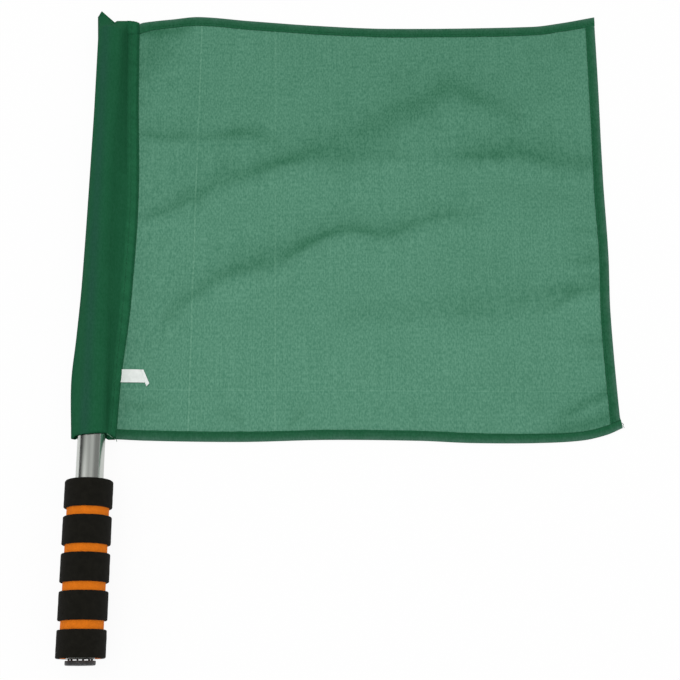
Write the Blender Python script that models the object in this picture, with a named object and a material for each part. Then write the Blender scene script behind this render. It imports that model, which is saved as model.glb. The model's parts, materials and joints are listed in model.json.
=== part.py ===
"""Linesman flag laid flat: a steel tube in a ribbed foam grip, and a cloth flag whose sleeve turns on it.

Metres, +Z up. The flag lies on z = 0. The pole runs along +Y from the butt of the grip to the closed end of
the sleeve, dipping a little because the thick grip and the thin tip both touch the table. The cloth spreads
towards +X. The bottom centre of the whole object's box is the origin.
"""

import math

import bmesh
import bpy
from mathutils import Matrix, Vector

# Pole
TUBE_DIAMETER = 0.019
TUBE_WALL = 0.0008
FLANGE_DIAMETER = 0.0202
FLANGE_THICKNESS = 0.0030
FLANGE_ROUNDING = 0.0009
FLANGE_STANDOFF = 0.00135
FINGER_COUNT = 6
FINGER_LENGTH = 0.0140
FINGER_THICKNESS = 0.0011
FINGER_WIDTH = 0.0016
FINGER_LEAD_IN = 0.0025
TIP_DOME_HEIGHT = 0.0022
TIP_STEM_LENGTH = 0.0150
TIP_STEM_WALL = 0.0015
TIP_FIN_HEIGHT = 0.0011
TIP_FIN_PITCH = 0.0045
TIP_FIN_COUNT = 2
TIP_FIN_TAPER = 0.6

# Foam grip
CORE_DIAMETER = 0.0286
RING_DIAMETER = 0.0328
RING_LENGTH = 0.0192
BUTT_RING_LENGTH = 0.0184
GROOVE_WIDTH = 0.00577
RING_COUNT = 5
RING_ROUNDING = 0.0010
FRONT_RING_ROUNDING = 0.0017

MOST_ROUNDING = 0.95

# Cloth
CLOTH = 0.0004
PANEL_CLOTH = 0.0004
PANEL_WIDTH = 0.3586
PANEL_HEIGHT = 0.3325
HEM_WIDTH = 0.0072
HEM_CORNER_GAP = 0.0003
BARE_TUBE_LENGTH = 0.03157
SLEEVE_TOP_STEP = 0.0012
SLEEVE_CLEARANCE = 0.0004
STRIP_WIDTH = 0.0093
STRIP_OVERLAP = 0.0060
SEAM_DROP = 0.0055
LEFT_FOLD_DROP = 0.0045
CLOSING_LENGTH = 0.0060
END_FLAP_LENGTH = 0.00565
LABEL_LENGTH = 0.0150
LABEL_HEIGHT = 0.0100
LABEL_UP = 0.0415
LABEL_CLOTH = 0.0003
LABEL_FLAP = 0.0035
LABEL_FLAP_FOOT = 0.0025
LABEL_FLAP_HEAD = 0.0065

# Fits
FIT_GAP = 0.0003

# How the cloth lies. The first number of each pair is a share of the sleeve's length, from its mouth up.
LEFT_SLACK = (
    (0.0, 0.0052),
    (0.12, 0.0073),
    (0.22, 0.0054),
    (0.34, 0.0036),
    (0.62, 0.0020),
    (0.93, 0.0012),
    (1.0, 0.0024),
)
RIGHT_SLACK = ((0.0, 0.0001), (0.15, 0.0022), (0.30, 0.0047), (0.54, 0.0068), (0.80, 0.0038), (1.0, 0.0020))
STRIP_SLOPE = ((0.0, 57.0), (0.15, 55.0), (0.30, 31.0), (0.54, 19.0), (0.75, 8.0), (1.0, 10.0))
# How far each edge of the panel lies from its straight line. The first number is a share of the way along.
TOP_EDGE = (
    (0.0, 0.0),
    (0.07, 0.0030),
    (0.13, 0.0049),
    (0.24, 0.0004),
    (0.39, -0.0053),
    (0.55, -0.0094),
    (0.86, -0.0105),
    (0.93, -0.0075),
    (1.0, -0.0028),
)
BOTTOM_EDGE = (
    (0.0, 0.0),
    (0.06, -0.0012),
    (0.25, -0.0032),
    (0.42, -0.0028),
    (0.60, -0.0046),
    (0.70, -0.0068),
    (0.83, -0.0077),
    (0.92, -0.0064),
    (0.97, -0.0025),
    (1.0, 0.0020),
)
FLY_EDGE = (
    (0.0, 0.0),
    (0.03, -0.0013),
    (0.26, -0.0018),
    (0.40, 0.0002),
    (0.60, 0.0009),
    (0.80, 0.0029),
    (1.0, 0.0043),
)

# The dog-ear at the sleeve's closed end: distance from the left fold, and height above the level end.
DOG_EAR = ((0.0, 0.0040), (0.0023, 0.0088), (0.0132, -0.0016), (0.0152, 0.0))

# Main folds of the panel: ridge points as shares across and up the panel, height, and reach above and below.
FOLDS = (
    (
        ((0.02, 0.50), (0.20, 0.585), (0.40, 0.67), (0.58, 0.78), (0.70, 0.82), (0.80, 0.77)),
        0.0050,
        0.026,
        0.014,
    ),
    (
        ((0.06, 0.28), (0.22, 0.385), (0.38, 0.44), (0.46, 0.475), (0.58, 0.465), (0.72, 0.515)),
        0.0045,
        0.024,
        0.014,
    ),
    (((0.70, 0.66), (0.84, 0.67), (1.0, 0.635)), 0.0035, 0.020, 0.014),
    (((0.02, 0.695), (0.16, 0.70), (0.24, 0.705), (0.32, 0.665)), 0.0025, 0.018, 0.014),
    (((0.40, 0.26), (0.66, 0.285), (0.84, 0.30), (1.0, 0.345)), 0.0018, 0.018, 0.014),
)
SEAM_FALL = 0.024
FOLD_FADE = 0.12
FOLD_START = 0.3
FOLD_FINISH = 0.4
EDGE_CALM = 0.029
EDGE_FOLD_SHARE = 0.25

# Facets
ROUND_SEGMENTS = 36
PANEL_COLUMNS = 20
PANEL_ROWS = 24
SLEEVE_STATIONS = 16
OVER_POLE_POINTS = 9
FOLD_POINTS = 3
CLOSING_SHARES = (0.35, 0.70, 0.92, 1.0)
NORMAL_REACH = 0.0015

# Derived sizes
TUBE_RADIUS = TUBE_DIAMETER / 2
BORE_RADIUS = TUBE_RADIUS - TUBE_WALL
CORE_RADIUS = CORE_DIAMETER / 2
RING_RADIUS = RING_DIAMETER / 2
TUBE_START = FLANGE_THICKNESS + FLANGE_STANDOFF
GRIP_START = TUBE_START
GRIP_LENGTH = BUTT_RING_LENGTH + (RING_COUNT - 1) * (RING_LENGTH + GROOVE_WIDTH)
FRONT_RING_END = GRIP_START + GRIP_LENGTH
SLEEVE_MOUTH = FRONT_RING_END + BARE_TUBE_LENGTH
SLEEVE_LENGTH = PANEL_HEIGHT + SLEEVE_TOP_STEP
SLEEVE_TOP = SLEEVE_MOUTH + SLEEVE_LENGTH
POCKET_END = SLEEVE_TOP - END_FLAP_LENGTH - CLOSING_LENGTH
TIP_END = POCKET_END - SLEEVE_CLEARANCE
TUBE_END = TIP_END - TIP_DOME_HEIGHT - FIT_GAP
CAVITY_RADIUS = TUBE_RADIUS + SLEEVE_CLEARANCE
SNUG_RADIUS = CAVITY_RADIUS + CLOTH
TIP_HEIGHT = SNUG_RADIUS
FRONT_RING_BEARING = FRONT_RING_END - FRONT_RING_ROUNDING
LEAN = math.asin((RING_RADIUS - TIP_HEIGHT) / (TUBE_END - FRONT_RING_BEARING))
BUTT_HEIGHT = TIP_HEIGHT + TUBE_END * math.sin(LEAN)
SEAM_THICKNESS = 2 * CLOTH + PANEL_CLOTH + 2 * FIT_GAP
SEAM_SLOT = PANEL_CLOTH + 2 * FIT_GAP
LEFT_FOLD_RADIUS = 0.00015
SEAM_FOLD_RADIUS = SEAM_SLOT / 2
STEEPEST_STRIP = math.radians(max(slope for share, slope in STRIP_SLOPE))
HEM_START = STRIP_WIDTH + FIT_GAP + SEAM_THICKNESS * math.tan(STEEPEST_STRIP / 2)


def smooth_value(points, at):
    """Value of a smooth curve through the points, as shares and values, held level past its ends."""
    if at <= points[0][0]:
        return points[0][1]
    if at >= points[-1][0]:
        return points[-1][1]
    last = len(points) - 1
    slopes = []
    for index in range(last + 1):
        low = points[max(index - 1, 0)]
        high = points[min(index + 1, last)]
        slopes.append((high[1] - low[1]) / (high[0] - low[0]))
    for index in range(last):
        start, end = points[index], points[index + 1]
        if at <= end[0]:
            span = end[0] - start[0]
            t = (at - start[0]) / span
            rise = (2 * t**3 - 3 * t**2 + 1) * start[1] + (3 * t**2 - 2 * t**3) * end[1]
            turn = (t**3 - 2 * t**2 + t) * slopes[index] + (t**3 - t**2) * slopes[index + 1]
            return rise + span * turn
    return points[-1][1]


def mix(low, high, share):
    return low + (high - low) * share


def ease(share):
    share = min(max(share, 0.0), 1.0)
    return share * share * (3 - 2 * share)


def principled(name, colour, roughness, metallic=0.0):
    """A plain material in the piece's own colour."""
    material = bpy.data.materials.new(name)
    material.use_nodes = True
    shader = material.node_tree.nodes["Principled BSDF"]
    shader.inputs["Base Color"].default_value = (*colour, 1.0)
    shader.inputs["Roughness"].default_value = roughness
    shader.inputs["Metallic"].default_value = metallic
    material.diffuse_color = (*colour, 1.0)
    return material


def add_piece(name, shape, material, parent, sharp_angle=35.0):
    """Turns a bmesh into a named object under its parent, shaded smooth up to the sharp angle."""
    bmesh.ops.recalc_face_normals(shape, faces=shape.faces)
    mesh = bpy.data.meshes.new(name)
    shape.to_mesh(mesh)
    shape.free()
    mesh.shade_smooth()
    mesh.set_sharp_from_angle(angle=math.radians(sharp_angle))
    mesh.materials.append(material)
    piece = bpy.data.objects.new(name, mesh)
    bpy.context.scene.collection.objects.link(piece)
    piece.parent = parent
    return piece


def arc(centre, radius, start, end, count):
    """Points of an arc in a plane, with angles in degrees."""
    points = []
    for index in range(count):
        angle = math.radians(mix(start, end, index / (count - 1)))
        points.append((centre[0] + radius * math.cos(angle), centre[1] + radius * math.sin(angle)))
    return points


def turned(profile):
    """A solid of revolution about local Z, from a closed profile of radius and height."""
    shape = bmesh.new()
    ring = [shape.verts.new((radius, 0.0, height)) for radius, height in profile]
    edges = [shape.edges.new((ring[index - 1], ring[index])) for index in range(len(ring))]
    bmesh.ops.spin(
        shape,
        geom=ring + edges,
        cent=(0, 0, 0),
        axis=(0, 0, 1),
        angle=2 * math.pi,
        steps=ROUND_SEGMENTS,
        use_merge=True,
    )
    bmesh.ops.remove_doubles(shape, verts=shape.verts, dist=1e-6)
    return shape


def skin(shape, rings):
    """Joins rings of equal length with quads and returns their vertices."""
    rows = [[shape.verts.new(point) for point in ring] for ring in rings]
    for lower, upper in zip(rows, rows[1:]):
        for index in range(len(lower)):
            shape.faces.new((lower[index - 1], lower[index], upper[index], upper[index - 1]))
    return rows


def lofted(rings):
    """A closed solid through rings of equal length, with a flat cap at each end."""
    shape = bmesh.new()
    rows = skin(shape, rings)
    shape.faces.new(rows[0])
    shape.faces.new(rows[-1])
    return shape


# Pole and grip


def make_tube(steel, parent):
    outer, inner = TUBE_RADIUS, BORE_RADIUS
    profile = ((outer, TUBE_END), (outer, TUBE_START), (inner, TUBE_START), (inner, TUBE_END))
    add_piece("pole_tube", turned(profile), steel, parent)


def make_end_plug(plastic, parent):
    """The butt's plug: a flange that stands off the tube on springy fingers, which grip in the bore."""
    rim = FLANGE_DIAMETER / 2
    edge = FLANGE_ROUNDING
    profile = [(0.0, 0.0)]
    profile += arc((rim - edge, edge), edge, -90, 0, 4)
    profile += arc((rim - edge / 2, FLANGE_THICKNESS - edge / 2), edge / 2, 0, 90, 2)
    profile.append((0.0, FLANGE_THICKNESS))
    plug = add_piece("end_plug", turned(profile), plastic, parent)
    fingers = bmesh.new()
    reach = BORE_RADIUS - FIT_GAP
    end = TUBE_START + FINGER_LENGTH
    stations = (
        (FLANGE_THICKNESS / 2, reach),
        (end - FINGER_LEAD_IN, reach),
        (end, reach - FINGER_THICKNESS / 2),
    )
    half = FINGER_WIDTH / 2
    for index in range(FINGER_COUNT):
        turn = Matrix.Rotation(2 * math.pi * (index / FINGER_COUNT + 0.25), 4, "Z")
        rings = []
        for height, outer in stations:
            inner = reach - FINGER_THICKNESS
            corners = ((outer, -half), (outer, half), (inner, half), (inner, -half))
            rings.append([turn @ Vector((x, y, height)) for x, y in corners])
        rows = skin(fingers, rings)
        fingers.faces.new(rows[0])
        fingers.faces.new(rows[-1])
    helper = add_piece("end_plug_fingers", fingers, plastic, parent)
    helper.hide_render = True
    helper.display_type = "WIRE"
    join = plug.modifiers.new("fingers", "BOOLEAN")
    join.operation = "UNION"
    join.object = helper


def stem_profile(seat, radius):
    """Outer and inner side of a hollow finned stem that runs down into the bore from its seat."""
    fin_radius = BORE_RADIUS - FIT_GAP
    points = [(radius, seat)]
    for fin in range(TIP_FIN_COUNT):
        base = seat - (fin + TIP_FIN_TAPER) * TIP_FIN_PITCH
        points.append((radius, base))
        points.append((fin_radius, base))
        points.append((radius, base - TIP_FIN_PITCH * TIP_FIN_TAPER))
    hollow = radius - TIP_STEM_WALL
    points.append((radius, seat - TIP_STEM_LENGTH))
    points.append((hollow, seat - TIP_STEM_LENGTH))
    points.append((hollow, seat))
    points.append((0.0, seat))
    return points


def make_tip_plug(plastic, parent):
    """The rounded plug in the pole's far end, which keeps the tube from cutting the cloth."""
    seat = TUBE_END + FIT_GAP
    bulge = (TUBE_RADIUS**2 + TIP_DOME_HEIGHT**2) / (2 * TIP_DOME_HEIGHT)
    reach = math.degrees(math.asin(TUBE_RADIUS / bulge))
    profile = arc((0.0, TIP_END - bulge), bulge, 90, 90 - reach, 6)
    profile[0] = (0.0, TIP_END)
    profile += stem_profile(seat, BORE_RADIUS - FIT_GAP - TIP_FIN_HEIGHT)
    add_piece("tip_plug", turned(profile), plastic, parent)


def make_grip_core(foam, parent):
    """The orange foam tube, which shows in the grooves between the black rings."""
    inner = TUBE_RADIUS + FIT_GAP
    start, end = GRIP_START, FRONT_RING_END
    profile = ((CORE_RADIUS, end), (CORE_RADIUS, start), (inner, start), (inner, end))
    add_piece("grip_core", turned(profile), foam, parent)


def make_grip_rings(foam, parent):
    """The black foam rings on the core: the butt one trimmed shorter, the front one rounded more in front."""
    inner = CORE_RADIUS + FIT_GAP
    start = GRIP_START
    for index in range(RING_COUNT):
        length = BUTT_RING_LENGTH if index == 0 else RING_LENGTH
        front = FRONT_RING_ROUNDING if index == RING_COUNT - 1 else RING_ROUNDING
        front = min(front, MOST_ROUNDING * (RING_RADIUS - inner))
        profile = [(inner, length)]
        profile += arc((RING_RADIUS - front, length - front), front, 90, 0, 4)
        profile += arc((RING_RADIUS - RING_ROUNDING, RING_ROUNDING), RING_ROUNDING, 0, -90, 3)
        profile.append((inner, 0.0))
        ring = add_piece(f"grip_ring_{index + 1}", turned(profile), foam, parent)
        ring.location.z = start
        start += length + GROOVE_WIDTH


# Where the cloth lies


def pole_height(along):
    """Height of the pole's axis above the table."""
    return BUTT_HEIGHT - along * math.tan(LEAN)


def sleeve_share(along):
    return (along - SLEEVE_MOUTH) / SLEEVE_LENGTH


def left_fold(along):
    """Centre of the sleeve's left fold, across and up."""
    reach = SNUG_RADIUS + smooth_value(LEFT_SLACK, sleeve_share(along))
    return Vector((-(reach - LEFT_FOLD_RADIUS - CLOTH), pole_height(along) - LEFT_FOLD_DROP))


def pocket_seam(along):
    """Centre of the stitched line that closes the pocket, across and up."""
    half_width = math.sqrt(SNUG_RADIUS**2 - SEAM_DROP**2)
    across = half_width + smooth_value(RIGHT_SLACK, sleeve_share(along))
    return Vector((across, pole_height(along) - SEAM_DROP))


def strip_direction(along):
    slope = math.radians(smooth_value(STRIP_SLOPE, sleeve_share(along)))
    return Vector((math.cos(slope), -math.sin(slope)))


def strip_edge(along):
    """The outer edge of the stitched strip, where the panel comes out of it."""
    return pocket_seam(along) + strip_direction(along) * STRIP_WIDTH


def sleeve_outline(across):
    """The closed end of the sleeve in plan: level, with its left corner standing up as a dog-ear."""
    inward = across - left_fold(SLEEVE_TOP).x
    for low, high in zip(DOG_EAR, DOG_EAR[1:]):
        if inward <= high[0]:
            share = max((inward - low[0]) / (high[0] - low[0]), 0.0)
            return SLEEVE_TOP + mix(low[1], high[1], share)
    return SLEEVE_TOP


def panel_point(across, up):
    """A point of the panel's middle surface, from shares across and up the finished flag."""
    left = strip_edge(SLEEVE_MOUTH + up * PANEL_HEIGHT).x
    first = strip_edge(SLEEVE_MOUTH).x
    right = first + PANEL_WIDTH + smooth_value(FLY_EDGE, up)
    x = mix(left, right, across)
    low = SLEEVE_MOUTH + smooth_value(BOTTOM_EDGE, across)
    high = SLEEVE_MOUTH + PANEL_HEIGHT + smooth_value(TOP_EDGE, across)
    y = mix(low, high, up)
    fall = math.exp(-(((x - left) / SEAM_FALL) ** 2))
    rest = SEAM_THICKNESS / 2
    z = rest + (strip_edge(y).y - rest) * fall + fold_height(across, up) * (1 - fall)
    return Vector((x, y, z))


def fold_height(across, up):
    """Height that the main folds add, each soft above its ridge and steeper below it."""
    total = 0.0
    for ridge, height, above, below in FOLDS:
        offset = (up - smooth_value(ridge, across)) * PANEL_HEIGHT
        reach = above if offset > 0 else below
        begin = ease((across - ridge[0][0]) / FOLD_FADE + FOLD_START)
        finish = ease((ridge[-1][0] - across) / FOLD_FADE + FOLD_FINISH)
        fade = min(begin, finish)
        total += height * fade * math.exp(-((offset / reach) ** 2))
    sides = (across * PANEL_WIDTH, (1 - across) * PANEL_WIDTH)
    edge = min(*sides, up * PANEL_HEIGHT, (1 - up) * PANEL_HEIGHT)
    return total * mix(EDGE_FOLD_SHARE, 1.0, ease(edge / EDGE_CALM))


def strip_point(out, up):
    """A point of the middle surface of the strip, out being the distance from the pocket's stitching."""
    y = SLEEVE_MOUTH + up * PANEL_HEIGHT
    place = pocket_seam(y) + strip_direction(y) * out
    return Vector((place.x, y, place.y))


def cloth_point(out, up):
    """A point of the flag's middle surface, out being the distance from the pocket's stitching."""
    if out <= STRIP_WIDTH:
        return strip_point(out, up)
    return panel_point((out - STRIP_WIDTH) / PANEL_WIDTH, up)


def cloth_normal(out, up):
    """The middle surface's upward normal, averaged over a short distance."""
    step = NORMAL_REACH
    low = out - step if out > STRIP_WIDTH + step or out <= STRIP_WIDTH else out
    high = out + step if out >= STRIP_WIDTH or out < STRIP_WIDTH - step else out
    high = min(high, STRIP_WIDTH + PANEL_WIDTH)
    rise = step / PANEL_HEIGHT
    across = cloth_point(high, up) - cloth_point(low, up)
    along = cloth_point(out, min(up + rise, 1.0)) - cloth_point(out, max(up - rise, 0.0))
    return across.cross(along).normalized()


# Cloth pieces


def panel_columns():
    """Distances from the pocket's stitching at which the panel has a line of points."""
    start = STRIP_WIDTH - STRIP_OVERLAP + FIT_GAP
    fly = STRIP_WIDTH + PANEL_WIDTH
    inner = fly - HEM_WIDTH
    columns = [start, STRIP_WIDTH]
    for index in range(1, PANEL_COLUMNS):
        columns.append(mix(STRIP_WIDTH, inner, index / PANEL_COLUMNS))
    return columns + [inner, fly - CLOTH - 2 * FIT_GAP]


def panel_rows():
    """Shares of the flag's height at which the panel has a line of points."""
    tuck = (CLOTH + 2 * FIT_GAP) / PANEL_HEIGHT
    hem = HEM_WIDTH / PANEL_HEIGHT
    rows = [tuck, hem]
    for index in range(1, PANEL_ROWS):
        rows.append(mix(hem, 1 - hem, index / PANEL_ROWS))
    return rows + [1 - hem, 1 - tuck]


def sheet(columns, rows, lift, thickness):
    """A closed sheet that follows the flag's middle surface at a height above it."""
    shape = bmesh.new()
    sides = []
    for side in (lift - thickness / 2, lift + thickness / 2):
        grid = []
        for up in rows:
            line = [cloth_point(out, up) + cloth_normal(out, up) * side for out in columns]
            grid.append([shape.verts.new(point) for point in line])
        sides.append(grid)
        for lower, upper in zip(grid, grid[1:]):
            for index in range(1, len(lower)):
                shape.faces.new((lower[index - 1], lower[index], upper[index], upper[index - 1]))
    under, over = (
        grid[0] + [row[-1] for row in grid[1:]] + grid[-1][-2::-1] + [row[0] for row in grid[-2:0:-1]]
        for grid in sides
    )
    for index in range(len(under)):
        shape.faces.new((under[index - 1], under[index], over[index], over[index - 1]))
    return shape


def make_panel(cloth, parent):
    shape = sheet(panel_columns(), panel_rows(), 0.0, PANEL_CLOTH)
    return add_piece("flag_panel", shape, cloth, parent)


def hem_profile():
    """Folded edge in section: distance in from the finished edge, and height off the middle surface."""
    half = SEAM_THICKNESS / 2
    inside = half - CLOTH
    return (
        (HEM_WIDTH, half),
        (half, half),
        (0.0, inside),
        (0.0, -inside),
        (half, -half),
        (HEM_WIDTH, -half),
        (HEM_WIDTH, -inside),
        (CLOTH + FIT_GAP, -inside),
        (CLOTH + FIT_GAP, inside),
        (HEM_WIDTH, inside),
    )


def make_edge_hem(name, at_top, cloth, parent):
    """The hem along the flag's top or bottom edge, folded round the edge of the panel."""
    stations = [HEM_START] + panel_columns()[2:-1] + [STRIP_WIDTH + PANEL_WIDTH]
    rings = []
    for out in stations:
        ring = []
        for inset, lift in hem_profile():
            up = inset / PANEL_HEIGHT
            if at_top:
                up = 1 - up
            ring.append(cloth_point(out, up) + cloth_normal(out, up) * lift)
        rings.append(ring)
    return add_piece(name, lofted(rings), cloth, parent)


def make_fly_hem(cloth, parent):
    """The hem down the free edge, between the other two."""
    first = (HEM_WIDTH + HEM_CORNER_GAP) / PANEL_HEIGHT
    stations = [first] + panel_rows()[2:-2] + [1 - first]
    fly = STRIP_WIDTH + PANEL_WIDTH
    rings = []
    for up in stations:
        ring = [cloth_point(fly - inset, up) + cloth_normal(fly - inset, up) * lift
                for inset, lift in hem_profile()]
        rings.append(ring)
    return add_piece("fly_hem", lofted(rings), cloth, parent)


def tangent_angles(centre, radius, fold, fold_radius):
    """Directions, in degrees, in which the two straight sides that join the circles face."""
    away = fold - centre
    middle = math.degrees(math.atan2(away.y, away.x))
    spread = math.degrees(math.acos((radius - fold_radius) / away.length))
    return middle - spread, middle + spread


def pocket_section(along, cloth, openness):
    """The sleeve in section round the pole: over the pole, round the left fold and back under it.

    cloth is 0 for the pocket's inside and the cloth's thickness for its outside. openness is 1 along the
    pole and falls to 0 where the two layers meet past the tip.
    """
    pole = Vector((0.0, pole_height(along)))
    fold, seam = left_fold(along), pocket_seam(along)
    radius = CAVITY_RADIUS + cloth
    left_low, left_high = tangent_angles(pole, radius, fold, LEFT_FOLD_RADIUS)
    left_low, left_high = left_low % 360, left_high % 360
    right_low, right_high = tangent_angles(pole, radius, seam, SEAM_FOLD_RADIUS)
    runs = (
        (pole, radius, right_high, left_low, OVER_POLE_POINTS, 1),
        (fold, LEFT_FOLD_RADIUS + cloth, left_low, left_high, FOLD_POINTS, 0),
        (pole, radius, left_high, right_low + 360, OVER_POLE_POINTS, -1),
    )
    flat = LEFT_FOLD_RADIUS + cloth
    points = []
    for centre, size, start, end, count, side in runs:
        for index in range(count):
            share = index / (count - 1)
            angle = math.radians(mix(start, end, share))
            direction = Vector((math.cos(angle), math.sin(angle)))
            open_point = centre + direction * size
            if side == 0:
                flat_point = open_point
            else:
                way = share if side > 0 else 1 - share
                flat_point = seam.lerp(fold, (way * (count - 1) + 1) / (count + 1))
                flat_point = flat_point + Vector((0.0, side * flat))
            points.append(flat_point.lerp(open_point, openness))
    return points, right_low, right_high


def mitred(corner, distance, first, second):
    """The point where two offset lines meet beside a corner, their outward directions given in degrees."""
    middle = math.radians((first + second) / 2)
    reach = distance / math.cos(math.radians((first - second) / 2))
    return corner + Vector((math.cos(middle), math.sin(middle))) * reach


def strip_section(along, right_low, right_high):
    """The stitched strip in section, split to hold the panel's edge: the lower run, then the upper corner."""
    seam, out = pocket_seam(along), strip_direction(along)
    up = Vector((-out.y, out.x))
    facing = math.degrees(math.atan2(up.y, up.x))
    half, inside = SEAM_THICKNESS / 2, SEAM_SLOT / 2
    edge, slot = seam + out * STRIP_WIDTH, seam + out * (STRIP_WIDTH - STRIP_OVERLAP)
    return [
        mitred(seam, half, right_low, facing - 180),
        edge - up * half,
        edge - up * inside,
        slot - up * inside,
        slot + up * inside,
        edge + up * inside,
        edge + up * half,
        mitred(seam, half, right_high, facing),
    ]


def outer_ring(along, openness, end_share=0.0):
    """The sleeve's outside at a distance along the pole, drawn towards the shaped end by end_share."""
    points, low, high = pocket_section(along, CLOTH, openness)
    low, high = mix(-90, low, openness), mix(90, high, openness)
    points += strip_section(along, low, high)
    return [Vector((p.x, mix(along, sleeve_outline(p.x), end_share), p.y)) for p in points]


def inner_ring(along, openness):
    """The inside of the pocket at a distance along the pole."""
    points, low, high = pocket_section(along, 0.0, openness)
    low, high = mix(-90, low, openness), mix(90, high, openness)
    seam = pocket_seam(along)
    for angle in (low, (low + high) / 2, high):
        direction = Vector((math.cos(math.radians(angle)), math.sin(math.radians(angle))))
        points.append(seam + direction * SEAM_FOLD_RADIUS * mix(0.5, 1.0, openness))
    return [Vector((p.x, along, p.y)) for p in points]


def make_sleeve(cloth, parent):
    """The sleeve: a pocket round the pole, open at the mouth and sewn shut past the tip, with its strip."""
    shape = bmesh.new()
    places = [mix(SLEEVE_MOUTH, POCKET_END, index / SLEEVE_STATIONS) for index in range(SLEEVE_STATIONS + 1)]
    outside = [outer_ring(along, 1.0) for along in places]
    inside = [inner_ring(along, 1.0) for along in places]
    for share in CLOSING_SHARES:
        along = POCKET_END + CLOSING_LENGTH * share
        openness = math.sqrt(max(1 - share**2, 0.0))
        outside.append(outer_ring(along, openness))
        if share < CLOSING_SHARES[-1]:
            inside.append(inner_ring(along, openness))
    closed = POCKET_END + CLOSING_LENGTH
    outside.append(outer_ring(closed, 0.0, 0.5))
    outside.append(outer_ring(closed, 0.0, 1.0))
    outer_rows = skin(shape, outside)
    inner_rows = skin(shape, inside)
    shape.faces.new(outer_rows[-1])
    shape.faces.new(inner_rows[-1])
    rim = []
    for row in (outer_rows[0], inner_rows[0]):
        rim += [shape.edges.get((row[index - 1], row[index])) for index in range(len(row))]
    bmesh.ops.triangle_fill(shape, edges=rim, use_beauty=True)
    return add_piece("pole_sleeve", shape, cloth, parent, 50.0)


def make_label(satin, parent):
    """The small bare tape sewn into the seam, lying on the panel with its corner folded down."""
    start = HEM_START
    lift = PANEL_CLOTH / 2 + FIT_GAP + LABEL_CLOTH / 2
    low, high = LABEL_UP / PANEL_HEIGHT, (LABEL_UP + LABEL_HEIGHT) / PANEL_HEIGHT
    fold = start + LABEL_LENGTH
    flap_low, flap_high = low - LABEL_FLAP_FOOT / PANEL_HEIGHT, high - LABEL_FLAP_HEAD / PANEL_HEIGHT
    stations = (
        (start, low, high),
        (mix(start, fold, 0.5), low, high),
        (fold, low, high),
        (fold + LABEL_FLAP, flap_low, flap_high),
    )
    rings = []
    for out, foot, head in stations:
        ring = []
        for up, side in ((foot, -1), (head, -1), (head, 1), (foot, 1)):
            place = cloth_point(out, up)
            ring.append(place + cloth_normal(out, up) * (lift + side * LABEL_CLOTH / 2))
        rings.append(ring)
    return add_piece("label", lofted(rings), satin, parent)


def clear_scene():
    for old in list(bpy.data.objects):
        bpy.data.objects.remove(old)


def add_empty(name, parent=None):
    empty = bpy.data.objects.new(name, None)
    empty.empty_display_size = 0.02
    empty.parent = parent
    bpy.context.scene.collection.objects.link(empty)
    return empty


def centre_on_base(root):
    """Moves the whole object so that the bottom centre of its box is the origin."""
    bpy.context.view_layer.update()
    lows, highs = [math.inf] * 3, [-math.inf] * 3
    for piece in bpy.data.objects:
        if piece.type != "MESH" or piece.hide_render:
            continue
        for vertex in piece.data.vertices:
            place = piece.matrix_world @ vertex.co
            lows = [min(a, b) for a, b in zip(lows, place)]
            highs = [max(a, b) for a, b in zip(highs, place)]
    root.location = (-(lows[0] + highs[0]) / 2, -(lows[1] + highs[1]) / 2, -lows[2])
    bpy.context.view_layer.update()


def main():
    clear_scene()
    steel = principled("brushed_tube", (0.42, 0.43, 0.42), 0.32, 1.0)
    black_foam = principled("black_foam", (0.012, 0.012, 0.010), 0.95)
    orange_foam = principled("orange_foam", (0.66, 0.16, 0.010), 0.90)
    plastic = principled("dark_plastic", (0.030, 0.031, 0.033), 0.55)
    green = principled("green_weave", (0.09, 0.26, 0.17), 0.85)
    dark_green = principled("green_layers", (0.018, 0.11, 0.055), 0.80)
    satin = principled("label_satin", (0.76, 0.80, 0.77), 0.60)

    root = add_empty("linesman_flag")
    pole = add_empty("pole_axis", root)
    pole.location = (0, 0, BUTT_HEIGHT)
    pole.rotation_euler = (-(math.pi / 2 + LEAN), 0, 0)
    hinge = add_empty("sleeve_hinge", root)
    hinge.location = (0, SLEEVE_MOUTH, pole_height(SLEEVE_MOUTH))
    hinge.rotation_euler = pole.rotation_euler

    make_tube(steel, pole)
    make_end_plug(plastic, pole)
    make_tip_plug(plastic, pole)
    make_grip_core(orange_foam, pole)
    make_grip_rings(black_foam, pole)

    bpy.context.view_layer.update()
    cloth_pieces = (
        make_panel(green, hinge),
        make_sleeve(dark_green, hinge),
        make_edge_hem("top_hem", True, dark_green, hinge),
        make_edge_hem("bottom_hem", False, dark_green, hinge),
        make_fly_hem(dark_green, hinge),
        make_label(satin, hinge),
    )
    for piece in cloth_pieces:
        piece.matrix_parent_inverse = hinge.matrix_world.inverted()
    centre_on_base(root)


if __name__ == "__main__":
    main()
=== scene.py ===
"""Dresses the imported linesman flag: its steel tube, foam grip, folded cloth, hems, stitching and label."""

import json
import math

import bmesh
import bpy
import numpy as np
from bpy.props import FloatProperty, FloatVectorProperty, PointerProperty
from mathutils import Matrix, Vector, noise


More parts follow.
